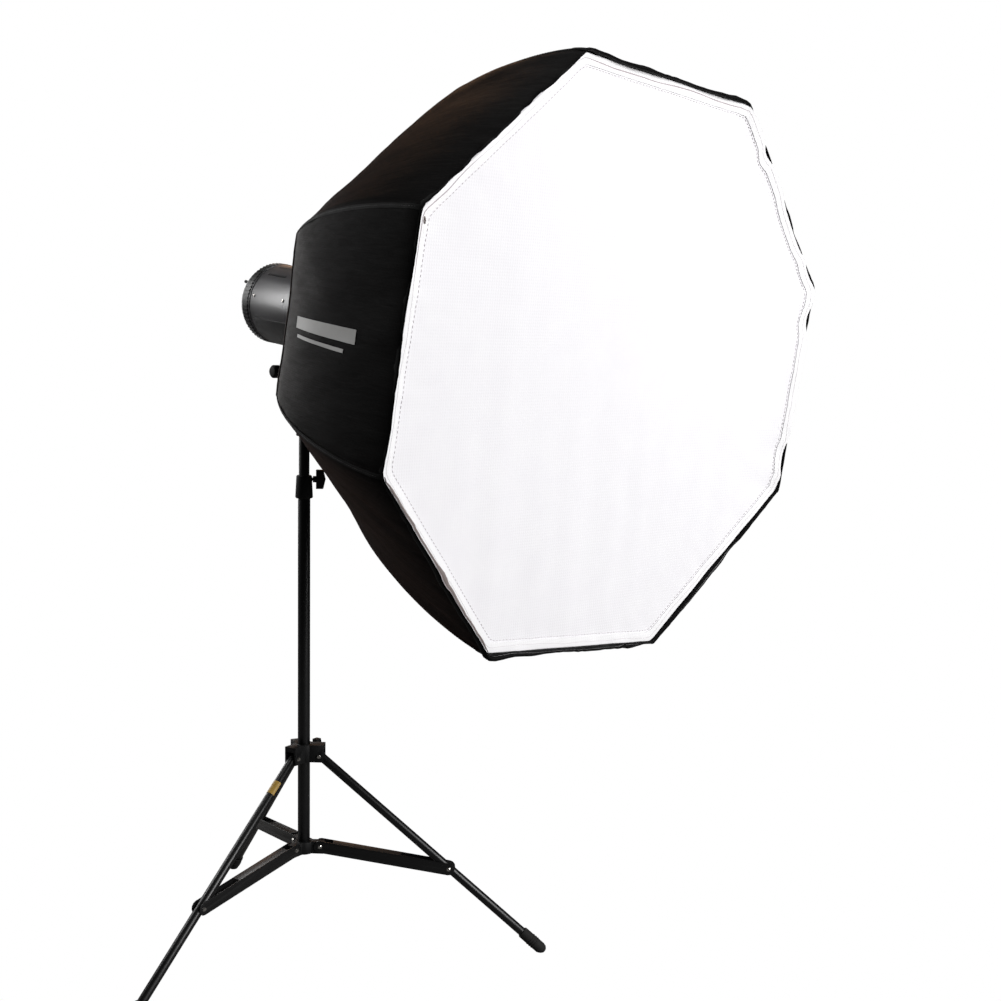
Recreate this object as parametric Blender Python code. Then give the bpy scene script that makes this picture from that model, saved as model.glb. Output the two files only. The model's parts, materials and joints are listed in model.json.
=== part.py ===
"""Studio softbox: an eight-sided softbox on a flash head, on a folding three-leg light stand.

Units are metres and +Z is up. The softbox faces -Y. The origin is on the floor, under the
middle of the whole object's bounding box. Every piece is placed under one of these empties:
  stand_foot   on the floor, on the axis of the stand's column
  tilt_pivot   on the tilt bolt, tilted as the flash head is; its -Y is the way the light goes
  head_axis    on the axis of the flash head; its +Z points out of the head's rear end
"""

import math

import bmesh
import bpy
from mathutils import Matrix, Vector

# ---------------------------------------------------------------- driving dimensions
GAP = 0.0003                    # between pieces that rest on or are fixed to each other

# Column: three tubes that slide in each other
LOWER_TUBE_RADIUS = 0.011
TUBE_WALL = 0.001
TUBE_GAP = 0.0005               # radial clearance of a tube in the one around it
LOWER_TUBE_FOOT = 0.172         # height of the lower tube's bottom end
LOWER_TUBE_LENGTH = 0.680
MID_TUBE_LENGTH = 0.560
TOP_TUBE_LENGTH = 0.520
CLAMP_WALL = 0.0047             # of the clamp collars, around the tube that they hold
CLAMP_TAPER = 0.0018            # a clamp collar is this much slimmer at its top, in radius
CLAMP_SLEEVE = 0.027            # length of a clamp collar below its tube's top end
CLAMP_HEAD = 0.014              # and above it
MID_TUBE_SHOWN = 0.070          # bare tube between the lower clamp and the middle one
TOP_TUBE_SHOWN = 0.006          # bare tube above the middle clamp

# Legs and braces
LEG_RADIUS = 0.008
LEG_WALL = 0.0012
LEG_LENGTH = 0.5465             # hinge to the end of the rubber tip
LEG_HEAD = 0.008                # tube beyond the hinge
LEG_SPREAD = math.radians(49.4)  # leg from the column, open
LEG_AZIMUTHS = {"right": -45.3, "left": -165.3, "back": 74.7}
TIP_WALL = 0.0025               # rubber around the leg
TIP_SLEEVE = 0.022              # how far the rubber tip grips the leg
TIP_SEAT = 0.0068               # height of the tip's round end's centre over the floor
COLLAR_WALL = 0.006             # casting around the lower tube
COLLAR_RUN = 0.0005             # running clearance on the lower tube
LUG_CHEEK = 0.004               # casting beside a leg
LUG_OVERHANG = 0.0085           # casting beyond the hinge
COLLAR_TOP_PLATE = 0.009
COLLAR_SKIRT = 0.0105           # collar below the hinge
LEG_SWING = 0.0040              # room between the collar's bore wall and the leg's end
SIDE_PLAY = 0.0004              # each side of a piece that hinges between cheeks
BRACE_ON_LEG = 0.313            # brace pivot's distance down the leg from the hinge
HUB_PIVOT_HEIGHT = 0.1866
BRACE_HEIGHT = 0.022
BRACE_SHEET = 0.0012
BRACE_OUTER_NOTCH = 0.090       # web cut away where the leg crosses it as it folds
BRACE_INNER_NOTCH = 0.022       # web cut away over the hub's lug
HUB_WALL = 0.006
HUB_SWING = 0.0026              # between the hub's body and a folded brace
HUB_FLOOR = 0.004               # casting under the lower tube
HUB_LUG_RADIUS = 0.009
RIVET_RADIUS = 0.0024
RIVET_PLAY = 0.0002
RIVET_HEAD_RADIUS = 0.0044
RIVET_HEAD = 0.0018

# Clamp knobs: a T-shaped head on a screw
SCREW_RADIUS = 0.003
SCREW_PLAY = 0.0004
KNOB_STANDOFF = 0.002           # bare screw between casting and knob
COLLAR_KNOB_STANDOFF = 0.0068   # on the leg collar, so that its bar turns clear of the rivets
KNOB_NECK = 0.0056
KNOB_BAR = 0.012                # the bar's depth along the screw
KNOB_RIDGE = 0.0042             # how far the bar's middle stands out beyond its ends
KNOB_BAR_LENGTH = 0.034
KNOB_BAR_WIDTH = 0.010
KNOB_NECK_RADIUS = 0.0058
LOWER_KNOB_AZIMUTH = -42.5
MID_KNOB_AZIMUTH = 60.0
COLLAR_KNOB_AZIMUTH = 14.7
SOCKET_KNOB_AZIMUTH = 0.0

# Spigot and tilting bracket
SPIGOT_FLANGE = 0.004
SPIGOT_HEIGHT = 0.034
SPIGOT_GROOVE = 0.0012
SPIGOT_PLUG = 0.030
SOCKET_HEIGHT = 0.046
SOCKET_WALL = 0.008
TONGUE_HALF = 0.007
TONGUE_RADIUS = 0.0135
CHEEK = 0.0055
PIVOT_OVER_SOCKET = 0.0165      # tilt bolt over the socket's top face
TILT_BOLT_RADIUS = 0.0038
TILT_HANDLE_REACH = 0.068
TILT_KNOB_RADIUS = 0.0115
TILT_KNOB_DEPTH = 0.016
SADDLE_LENGTH = 0.070
SADDLE_HEIGHT = 0.016

# Flash head
TILT = math.radians(6.83)       # how far the light points down
BARREL_RADIUS = 0.070
BARREL_WALL = 0.0025
BARREL_FRONT = -0.205           # along the head's axis from the tilt bolt
BARREL_REAR = 0.085
BARREL_OVER_PIVOT = 0.040       # barrel's underside over the tilt bolt
COVER_DEPTH = 0.0282            # of the rear cover
COVER_EDGE = 0.006              # rounded edge of the rear cover, inwards
COVER_RIM = 0.0108              # flat rim between that edge and the panel
PANEL_THICKNESS = 0.003
PANEL_RECESS = 0.0005
BAYONET_LENGTH = 0.024
BAYONET_WALL = 0.0095
BAYONET_STEP = 0.0005           # the bayonet ring is this much slimmer than the barrel, in radius

# Softbox
SIDES = 8
SOFTBOX_RADIUS = 0.433          # corner of the front edge from the axis
SOFTBOX_DEPTH = 0.537           # front edge to the rear edge of the fabric
SOFTBOX_ROLL = math.radians(-4.58)
SHELL_THICKNESS = 0.0015
REAR_OPENING_PLAY = 0.002       # between the fabric's rear opening and the barrel
RIM_SWELL = 1.028               # the ribs' curve: control point near the front edge, of the radius
SHOULDER_RADIUS = 0.820         # control point of the rear shoulder, of the radius
SHOULDER_DEPTH = 1.088          # and of the depth
RIM_REACH = 0.100               # control point near the front edge, of the depth
RIB_RADIUS = 0.002
RIB_PLAY = 0.0008
RING_FLANGE = 0.016             # speedring beyond the barrel, in radius
RING_THICKNESS = 0.011
DIFFUSER_THICKNESS = 0.0012
DIFFUSER_SET_BACK = 0.010       # behind the fabric's front edge
BAFFLE_THICKNESS = 0.0008
BAFFLE_DEPTH = 0.200
BAFFLE_SLACK = 0.003            # between the baffle's corner and a rib

# ---------------------------------------------------------------- dimensions that follow
MID_TUBE_RADIUS = LOWER_TUBE_RADIUS - TUBE_WALL - TUBE_GAP
TOP_TUBE_RADIUS = MID_TUBE_RADIUS - TUBE_WALL - TUBE_GAP
TIP_RADIUS = LEG_RADIUS + TIP_WALL
HINGE_HEIGHT = (LEG_LENGTH - TIP_RADIUS) * math.cos(LEG_SPREAD) + TIP_SEAT
COLLAR_BORE = LOWER_TUBE_RADIUS + COLLAR_RUN
LEG_END_SWING = math.hypot(LEG_HEAD, LEG_RADIUS)
HINGE_RADIUS = COLLAR_BORE + LEG_SWING + LEG_END_SWING + 0.0022
LUG_HALF = LEG_RADIUS + SIDE_PLAY
HUB_RADIUS = LOWER_TUBE_RADIUS + HUB_WALL
HUB_PIVOT_RADIUS = HUB_RADIUS + HUB_SWING + BRACE_HEIGHT / 2
LOWER_TUBE_TOP = LOWER_TUBE_FOOT + LOWER_TUBE_LENGTH
LOWER_CLAMP_TOP = LOWER_TUBE_TOP + CLAMP_HEAD
MID_TUBE_TOP = LOWER_CLAMP_TOP + MID_TUBE_SHOWN + CLAMP_SLEEVE
MID_CLAMP_TOP = MID_TUBE_TOP + CLAMP_HEAD
TOP_TUBE_TOP = MID_CLAMP_TOP + TOP_TUBE_SHOWN
SPIGOT_BASE = TOP_TUBE_TOP + GAP + SPIGOT_FLANGE
SOCKET_FOOT = SPIGOT_BASE + GAP
SOCKET_TOP = SOCKET_FOOT + SOCKET_HEIGHT
PIVOT_HEIGHT = SOCKET_TOP + PIVOT_OVER_SOCKET
AXIS_OVER_PIVOT = BARREL_RADIUS + BARREL_OVER_PIVOT
COVER_REAR = BARREL_REAR + GAP + COVER_DEPTH
PANEL_REAR = COVER_REAR - PANEL_RECESS
COVER_RADIUS = BARREL_RADIUS + GAP
PANEL_RADIUS = COVER_RADIUS - COVER_EDGE - COVER_RIM - GAP
BAYONET_RADIUS = BARREL_RADIUS - BAYONET_STEP
BAYONET_BORE = BAYONET_RADIUS - BAYONET_WALL
RING_OUTER_RADIUS = BARREL_RADIUS + RING_FLANGE
SHELL_REAR_RADIUS = (BARREL_RADIUS + REAR_OPENING_PLAY) / math.cos(math.pi / SIDES)
BAYONET_REAR = BARREL_FRONT - GAP
BAYONET_FRONT = BAYONET_REAR - BAYONET_LENGTH
RING_REAR = BAYONET_FRONT - GAP
SHELL_REAR = RING_REAR + GAP + SHELL_THICKNESS + 0.0008
FRONT_PLANE = SHELL_REAR - SOFTBOX_DEPTH


def along_leg(distance, angle=LEG_SPREAD):
    """Radius from the column and height of a point that far down a leg."""
    return (HINGE_RADIUS + distance * math.sin(angle), HINGE_HEIGHT - distance * math.cos(angle))


PIVOT_ON_LEG_RADIUS, PIVOT_ON_LEG_HEIGHT = along_leg(BRACE_ON_LEG)
BRACE_RUN = PIVOT_ON_LEG_RADIUS - HUB_PIVOT_RADIUS
BRACE_DROP = HUB_PIVOT_HEIGHT - PIVOT_ON_LEG_HEIGHT
BRACE_LENGTH = math.hypot(BRACE_RUN, BRACE_DROP)
BRACE_PITCH = math.atan2(BRACE_DROP, BRACE_RUN)


# ---------------------------------------------------------------- scene and materials
def clear_scene():
    for obj in list(bpy.data.objects):
        bpy.data.objects.remove(obj, do_unlink=True)


def material(name, colour, roughness, metallic=0.0):
    mat = bpy.data.materials.new(name)
    mat.use_nodes = True
    shader = mat.node_tree.nodes["Principled BSDF"]
    shader.inputs["Base Color"].default_value = (*colour, 1.0)
    shader.inputs["Roughness"].default_value = roughness
    shader.inputs["Metallic"].default_value = metallic
    mat.diffuse_color = (*colour, 1.0)
    return mat


def make_materials():
    return {
        "tube": material("black_anodised_tube", (0.012, 0.012, 0.013), 0.35, 0.6),
        "casting": material("black_nylon_casting", (0.015, 0.015, 0.016), 0.5),
        "rubber": material("black_rubber", (0.010, 0.010, 0.010), 0.8),
        "rivet": material("nickel_rivet", (0.75, 0.74, 0.72), 0.2, 1.0),
        "spigot": material("plated_spigot", (0.62, 0.61, 0.59), 0.3, 1.0),
        "barrel": material("dark_grey_barrel", (0.055, 0.052, 0.058), 0.4, 0.3),
        "cover": material("black_rear_cover", (0.018, 0.018, 0.022), 0.45),
        "panel": material("grey_panel", (0.10, 0.10, 0.105), 0.5),
        "dial": material("black_dial", (0.02, 0.02, 0.02), 0.4),
        "button": material("red_button", (0.5, 0.03, 0.02), 0.35),
        "reflector": material("bright_reflector", (0.8, 0.8, 0.8), 0.15, 1.0),
        "glass": material("frosted_glass", (0.85, 0.87, 0.9), 0.2),
        "capacitor": material("capacitor_can", (0.10, 0.14, 0.25), 0.4),
        "ring": material("cast_speedring", (0.45, 0.45, 0.46), 0.35, 1.0),
        "rib": material("glass_fibre_rib", (0.30, 0.30, 0.28), 0.5),
        "shell": material("black_nylon_cloth", (0.012, 0.011, 0.011), 0.6),
        "diffuser": material("white_diffuser_cloth", (0.93, 0.92, 0.93), 0.8),
    }


# ---------------------------------------------------------------- shape helpers
def empty(name, parent=None, location=(0, 0, 0), rotation=(0, 0, 0)):
    obj = bpy.data.objects.new(name, None)
    bpy.context.scene.collection.objects.link(obj)
    obj.parent = parent
    obj.location = location
    obj.rotation_euler = rotation
    return obj


def add_object(name, bm, mat, parent, location=(0, 0, 0), rotation=(0, 0, 0)):
    """Turn a bmesh into a named object, shaded smooth with its sharp edges kept."""
    bmesh.ops.recalc_face_normals(bm, faces=bm.faces)
    mesh = bpy.data.meshes.new(name)
    bm.to_mesh(mesh)
    bm.free()
    mesh.shade_smooth()
    mesh.set_sharp_from_angle(angle=math.radians(35))
    if mat:
        mesh.materials.append(mat)
    obj = bpy.data.objects.new(name, mesh)
    bpy.context.scene.collection.objects.link(obj)
    obj.parent = parent
    obj.location = location
    obj.rotation_euler = rotation
    return obj


def turned(profile, segments=24, closed=False):
    """A turned mesh about Z, from (radius, height) points; closed for a ring's section."""
    bm = bmesh.new()
    verts = [bm.verts.new((radius, 0, height)) for radius, height in profile]
    edges = [bm.edges.new(pair) for pair in zip(verts, verts[1:])]
    if closed:
        edges.append(bm.edges.new((verts[-1], verts[0])))
    bmesh.ops.spin(
        bm, geom=verts + edges, cent=(0, 0, 0), axis=(0, 0, 1), angle=math.tau, steps=segments,
        use_merge=True,
    )
    bmesh.ops.remove_doubles(bm, verts=bm.verts, dist=1e-6)
    return bm


def tube(outer, wall, low, high, segments=20):
    inner = outer - wall
    return turned([(outer, low), (outer, high), (inner, high), (inner, low)], segments, closed=True)


def rod(radius, low, high, segments=12):
    return turned([(0, low), (radius, low), (radius, high), (0, high)], segments)


def prism(outline, low, high):
    """An outline in the XY plane, extruded from one height to another."""
    bm = bmesh.new()
    face = bm.faces.new([bm.verts.new((x, y, low)) for x, y in outline])
    side = bmesh.ops.extrude_face_region(bm, geom=[face])
    lifted = [item for item in side["geom"] if isinstance(item, bmesh.types.BMVert)]
    bmesh.ops.translate(bm, verts=lifted, vec=(0, 0, high - low))
    return bm


def block(low, high):
    """A box between two corners."""
    bm = bmesh.new()
    size = [b - a for a, b in zip(low, high)]
    middle = [(a + b) / 2 for a, b in zip(low, high)]
    bmesh.ops.create_cube(bm, size=1, matrix=Matrix.Translation(middle) @ Matrix.Diagonal((*size, 1)))
    return bm


def moved(bm, matrix):
    bmesh.ops.transform(bm, matrix=matrix, verts=bm.verts)
    return bm


def joined(parts):
    """Several closed meshes in one, for a cutter that makes several holes."""
    whole = bmesh.new()
    for bm in parts:
        mesh = bpy.data.meshes.new("cutter_part")
        bm.to_mesh(mesh)
        bm.free()
        whole.from_mesh(mesh)
        bpy.data.meshes.remove(mesh)
    return whole


def combine(target, name, bm, operation):
    """Cut a mesh out of an object, or unite them, in the object's own frame."""
    tool = add_object(name, bm, None, target.parent, target.location, target.rotation_euler)
    tool.hide_render = True
    tool.display_type = "WIRE"
    modifier = target.modifiers.new(name, "BOOLEAN")
    modifier.operation = operation
    modifier.object = tool
    modifier.solver = "EXACT"


def cut(target, name, bm):
    combine(target, name, bm, "DIFFERENCE")


def unite(target, name, bm):
    combine(target, name, bm, "UNION")


def arc(centre, radius, start, end, steps):
    """Points on a round stretch of an outline; angles in degrees."""
    angles = [math.radians(start + (end - start) * i / steps) for i in range(steps + 1)]
    return [(centre[0] + radius * math.cos(a), centre[1] + radius * math.sin(a)) for a in angles]


ALONG_X = Matrix.Rotation(math.radians(90), 4, "Y")     # turns Z to X
ALONG_Y = Matrix.Rotation(math.radians(-90), 4, "X")    # turns Z to Y
TO_XZ = Matrix.Rotation(math.radians(90), 4, "X")       # stands an XY outline up in XZ
TO_YZ = Matrix(((0, 0, 1, 0), (1, 0, 0, 0), (0, 1, 0, 0), (0, 0, 0, 1)))   # and in YZ


def lobed_outline(body_radius, reach, half_width):
    """Plan of a round body with a straight-sided lobe at each leg."""
    outline = []
    half_angle = math.degrees(math.asin(half_width / body_radius))
    azimuths = sorted(LEG_AZIMUTHS.values())
    for i, azimuth in enumerate(azimuths):
        turn = Matrix.Rotation(math.radians(azimuth), 2)
        for corner in ((reach, -half_width), (reach, half_width)):
            outline.append(tuple(turn @ Vector(corner)))
        following = azimuths[(i + 1) % 3] + (360 if i == 2 else 0)
        outline += arc((0, 0), body_radius, azimuth + half_angle, following - half_angle, 4)
    return outline


def cross_hole(radius, x, z, azimuth, length):
    """A cutter for a rivet hole: a rod along the tangent, at a radius x and a height z."""
    hole = moved(rod(radius, -length / 2, length / 2), Matrix.Translation((x, 0, z)) @ ALONG_Y)
    return moved(hole, Matrix.Rotation(math.radians(azimuth), 4, "Z"))


def radial_hole(radius, start, end, z, azimuth):
    """A cutter for a screw hole that points away from the column."""
    hole = moved(rod(radius, start, end), Matrix.Translation((0, 0, z)) @ ALONG_X)
    return moved(hole, Matrix.Rotation(math.radians(azimuth), 4, "Z"))


# ---------------------------------------------------------------- column
def make_clamp(name, mats, foot, tube_radius, inner_radius, tube_top, knob_azimuth):
    """A collar on a tube's top end, bored for the next tube and drilled for its screw.

    It returns the radius of its outside at the screw.
    """
    outer = tube_radius + CLAMP_WALL
    upper = outer - CLAMP_TAPER
    low = tube_top - CLAMP_SLEEVE
    high = tube_top + CLAMP_HEAD
    edge = 0.0015
    seat = tube_radius + GAP
    bore = inner_radius + TUBE_GAP
    profile = [
        (outer - edge, low), (outer, low + edge), (upper, high - edge), (upper - edge, high),
        (bore, high), (bore, tube_top + GAP), (seat, tube_top + GAP), (seat, low),
    ]
    clamp = add_object(name, turned(profile, 20, closed=True), mats["casting"], foot)
    hole = radial_hole(SCREW_RADIUS + SCREW_PLAY, bore - 0.002, outer + 0.002,
                       tube_top + CLAMP_HEAD / 2, knob_azimuth)
    cut(clamp, name + "_screw_hole", hole)
    return upper + CLAMP_TAPER * CLAMP_HEAD / 2 / (CLAMP_HEAD + CLAMP_SLEEVE)


def make_knob(name, mats, parent, height, azimuth, screw_tip, casting_face,
              standoff=KNOB_STANDOFF):
    """A T knob; its screw starts near the tube and its neck stands off the casting."""
    turn = math.radians(azimuth)
    neck = casting_face + standoff
    bar = neck + KNOB_NECK
    head = bar + KNOB_BAR
    profile = [
        (0, screw_tip), (SCREW_RADIUS, screw_tip), (SCREW_RADIUS, neck),
        (KNOB_NECK_RADIUS, neck), (KNOB_NECK_RADIUS, bar + KNOB_BAR / 2), (0, bar + KNOB_BAR / 2),
    ]
    knob = add_object(name, moved(turned(profile, 12), ALONG_X), mats["casting"], parent,
                      (0, 0, height), (0, 0, turn))
    end = KNOB_BAR_LENGTH / 2
    outline = [(bar, -end), (head, -end), (head + KNOB_RIDGE, 0), (head, end), (bar, end)]
    half = KNOB_BAR_WIDTH / 2
    unite(knob, name + "_bar", moved(prism(outline, -half, half), TO_XZ))


def make_column(mats, foot):
    low, high = LOWER_TUBE_FOOT, LOWER_TUBE_TOP
    add_object("lower_tube", tube(LOWER_TUBE_RADIUS, TUBE_WALL, low, high), mats["tube"], foot)
    face = make_clamp("lower_clamp", mats, foot, LOWER_TUBE_RADIUS, MID_TUBE_RADIUS,
                      LOWER_TUBE_TOP, LOWER_KNOB_AZIMUTH)
    make_knob("lower_clamp_knob", mats, foot, LOWER_TUBE_TOP + CLAMP_HEAD / 2,
              LOWER_KNOB_AZIMUTH, MID_TUBE_RADIUS + GAP, face)
    mid = tube(MID_TUBE_RADIUS, TUBE_WALL, MID_TUBE_TOP - MID_TUBE_LENGTH, MID_TUBE_TOP)
    add_object("mid_tube", mid, mats["tube"], foot)
    face = make_clamp("mid_clamp", mats, foot, MID_TUBE_RADIUS, TOP_TUBE_RADIUS,
                      MID_TUBE_TOP, MID_KNOB_AZIMUTH)
    make_knob("mid_clamp_knob", mats, foot, MID_TUBE_TOP + CLAMP_HEAD / 2,
              MID_KNOB_AZIMUTH, TOP_TUBE_RADIUS + GAP, face)
    top = tube(TOP_TUBE_RADIUS, TUBE_WALL, TOP_TUBE_TOP - TOP_TUBE_LENGTH, TOP_TUBE_TOP)
    add_object("top_tube", top, mats["tube"], foot)


def make_spigot(mats, foot):
    """The stud on the top tube, which the head's bracket is clamped to."""
    plug = TOP_TUBE_RADIUS - TUBE_WALL - GAP
    stud = TOP_TUBE_RADIUS - 0.0001
    groove_low = SPIGOT_BASE + SPIGOT_HEIGHT * 0.4
    groove_high = SPIGOT_BASE + SPIGOT_HEIGHT * 0.7
    top = SPIGOT_BASE + SPIGOT_HEIGHT
    profile = [
        (0, TOP_TUBE_TOP - SPIGOT_PLUG), (plug, TOP_TUBE_TOP - SPIGOT_PLUG),
        (plug, TOP_TUBE_TOP + GAP), (TOP_TUBE_RADIUS + 0.0015, TOP_TUBE_TOP + GAP),
        (TOP_TUBE_RADIUS + 0.0015, SPIGOT_BASE), (stud, SPIGOT_BASE), (stud, groove_low),
        (stud - SPIGOT_GROOVE, groove_low + SPIGOT_GROOVE),
        (stud - SPIGOT_GROOVE, groove_high - SPIGOT_GROOVE), (stud, groove_high),
        (stud, top - 0.001), (stud - 0.001, top), (0, top),
    ]
    add_object("spigot", turned(profile, 16), mats["spigot"], foot)


# ---------------------------------------------------------------- legs and braces
def make_hub(mats, foot):
    """The casting under the lower tube, with a lug for each brace."""
    low = HUB_PIVOT_HEIGHT - HUB_LUG_RADIUS - HUB_FLOOR
    high = HUB_PIVOT_HEIGHT + HUB_LUG_RADIUS
    reach = HUB_PIVOT_RADIUS + HUB_LUG_RADIUS - 0.002
    half = LEG_RADIUS + SIDE_PLAY - 0.0002
    plan = lobed_outline(HUB_RADIUS, reach, half)
    hub = add_object("spreader_hub", prism(plan, low, high), mats["casting"], foot)
    cut(hub, "hub_bore", rod(LOWER_TUBE_RADIUS + GAP, LOWER_TUBE_FOOT - GAP, high + 0.01, 24))
    holes = [cross_hole(RIVET_RADIUS + RIVET_PLAY, HUB_PIVOT_RADIUS, HUB_PIVOT_HEIGHT, azimuth,
                        2 * half + 0.004) for azimuth in LEG_AZIMUTHS.values()]
    cut(hub, "hub_rivet_holes", joined(holes))


def make_leg_collar(mats, foot):
    """The casting that slides on the lower tube, with a forked lug over each leg."""
    low = HINGE_HEIGHT - COLLAR_SKIRT
    under_plate = HINGE_HEIGHT + LEG_END_SWING + 0.001
    high = under_plate + COLLAR_TOP_PLATE
    half = LUG_HALF + LUG_CHEEK
    reach = HINGE_RADIUS + LUG_OVERHANG
    plan = lobed_outline(COLLAR_BORE + COLLAR_WALL, reach, half)
    collar = add_object("leg_collar", prism(plan, low, high), mats["casting"], foot)
    slot_start = HINGE_RADIUS - LEG_END_SWING - 0.0005
    openings = [rod(COLLAR_BORE, low - 0.01, high + 0.01, 24)]
    for azimuth in LEG_AZIMUTHS.values():
        slot = block((slot_start, -LUG_HALF, low - 0.01), (reach + 0.01, LUG_HALF, under_plate))
        openings.append(moved(slot, Matrix.Rotation(math.radians(azimuth), 4, "Z")))
    cut(collar, "collar_bore_and_slots", joined(openings))
    holes = [cross_hole(RIVET_RADIUS + RIVET_PLAY, HINGE_RADIUS, HINGE_HEIGHT, azimuth,
                        2 * half + 0.004) for azimuth in LEG_AZIMUTHS.values()]
    screw_height = (low + high) / 2
    face = COLLAR_BORE + COLLAR_WALL
    holes.append(radial_hole(SCREW_RADIUS + SCREW_PLAY, COLLAR_BORE - 0.002, face + 0.004,
                             screw_height, COLLAR_KNOB_AZIMUTH))
    cut(collar, "collar_rivet_and_screw_holes", joined(holes))
    make_knob("leg_collar_knob", mats, foot, screw_height, COLLAR_KNOB_AZIMUTH,
              LOWER_TUBE_RADIUS + GAP, face, COLLAR_KNOB_STANDOFF)


def leg_pose(azimuth):
    """Place and turn of a leg's frame: its hinge, with the leg running down its own -Z."""
    turn = math.radians(azimuth)
    place = Vector((HINGE_RADIUS * math.cos(turn), HINGE_RADIUS * math.sin(turn), HINGE_HEIGHT))
    return place, (0, -LEG_SPREAD, turn)


def make_leg(side, azimuth, mats, foot):
    place, rotation = leg_pose(azimuth)
    end = -(LEG_LENGTH - 2 * TIP_RADIUS - 0.012)
    leg = add_object("leg_" + side, tube(LEG_RADIUS, LEG_WALL, end, LEG_HEAD, 16), mats["tube"],
                     foot, place, rotation)
    hole = RIVET_RADIUS + RIVET_PLAY
    holes = [cross_hole(hole, 0, -down, 0, 0.03) for down in (0, BRACE_ON_LEG)]
    cut(leg, "leg_" + side + "_rivet_holes", joined(holes))

    ball = -(LEG_LENGTH - TIP_RADIUS)
    round_end = [(TIP_RADIUS * math.sin(math.radians(a)), ball - TIP_RADIUS * math.cos(math.radians(a)))
                 for a in (0, 30, 60, 90)]
    bore = LEG_RADIUS + GAP
    profile = round_end + [
        (TIP_RADIUS, end + TIP_SLEEVE - 0.002), (TIP_RADIUS - 0.001, end + TIP_SLEEVE),
        (bore, end + TIP_SLEEVE), (bore, end - GAP), (0, end - GAP),
    ]
    bm = turned(profile, 16)
    # the worn flat that the tip stands on, level with the floor
    to_stand = Matrix.Translation(place) @ Matrix.Rotation(rotation[2], 4, "Z") @ Matrix.Rotation(
        rotation[1], 4, "Y")
    floor_point = to_stand.inverted() @ Vector((0, 0, 0))
    floor_normal = to_stand.inverted().to_3x3() @ Vector((0, 0, -1))
    section = bmesh.ops.bisect_plane(
        bm, geom=bm.verts[:] + bm.edges[:] + bm.faces[:], plane_co=floor_point,
        plane_no=floor_normal, clear_outer=True)
    rim = [item for item in section["geom_cut"] if isinstance(item, bmesh.types.BMEdge)]
    bmesh.ops.contextual_create(bm, geom=rim)
    add_object("leg_tip_" + side, bm, mats["rubber"], foot, place, rotation)


def make_brace(side, azimuth, mats, foot):
    """A channel, open below, from the hub's lug to a pivot on the leg."""
    turn = math.radians(azimuth)
    place = Vector((HUB_PIVOT_RADIUS * math.cos(turn), HUB_PIVOT_RADIUS * math.sin(turn),
                    HUB_PIVOT_HEIGHT))
    half = LEG_RADIUS + SIDE_PLAY
    outer = half + BRACE_SHEET
    tall = BRACE_HEIGHT / 2
    side_view = (arc((BRACE_LENGTH, 0), tall, -90, 90, 6) + arc((0, 0), tall, 90, 270, 6))
    body = moved(prism(side_view, -outer, outer), TO_XZ)
    brace = add_object("brace_" + side, body, mats["tube"], foot, place, (0, BRACE_PITCH, turn))
    beyond = BRACE_LENGTH + 0.05
    inside = block((-0.05, -half, -0.05), (beyond, half, tall - BRACE_SHEET))
    cut(brace, "brace_" + side + "_inside", inside)
    notches = [
        block((BRACE_LENGTH - BRACE_OUTER_NOTCH, -half, 0), (beyond, half, 0.05)),
        block((-0.05, -half, 0), (BRACE_INNER_NOTCH, half, 0.05)),
    ]
    cut(brace, "brace_" + side + "_notches", joined(notches))
    holes = [cross_hole(RIVET_RADIUS + RIVET_PLAY, x, 0, 0, 0.05) for x in (0, BRACE_LENGTH)]
    cut(brace, "brace_" + side + "_rivet_holes", joined(holes))


def make_rivet(name, mats, foot, radius, height, azimuth, half_grip):
    """A rivet along the tangent, its two heads outside the cheeks that it holds."""
    turn = math.radians(azimuth)
    under = half_grip + GAP
    head = under + RIVET_HEAD
    dome = (RIVET_HEAD_RADIUS * 0.6, head)
    profile = [
        (0, -head), (dome[0], -head), (RIVET_HEAD_RADIUS, -under), (RIVET_RADIUS, -under),
        (RIVET_RADIUS, under), (RIVET_HEAD_RADIUS, under), dome, (0, head),
    ]
    place = (radius * math.cos(turn), radius * math.sin(turn), height)
    add_object(name, moved(turned(profile, 12), ALONG_Y), mats["rivet"], foot, place, (0, 0, turn))


def make_legs(mats, foot):
    make_hub(mats, foot)
    make_leg_collar(mats, foot)
    for side, azimuth in LEG_AZIMUTHS.items():
        make_leg(side, azimuth, mats, foot)
        make_brace(side, azimuth, mats, foot)
        brace_grip = LEG_RADIUS + SIDE_PLAY + BRACE_SHEET
        make_rivet("hinge_rivet_" + side, mats, foot, HINGE_RADIUS, HINGE_HEIGHT, azimuth,
                   LUG_HALF + LUG_CHEEK)
        make_rivet("hub_rivet_" + side, mats, foot, HUB_PIVOT_RADIUS, HUB_PIVOT_HEIGHT, azimuth,
                   brace_grip)
        make_rivet("brace_rivet_" + side, mats, foot, PIVOT_ON_LEG_RADIUS, PIVOT_ON_LEG_HEIGHT,
                   azimuth, brace_grip)


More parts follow.
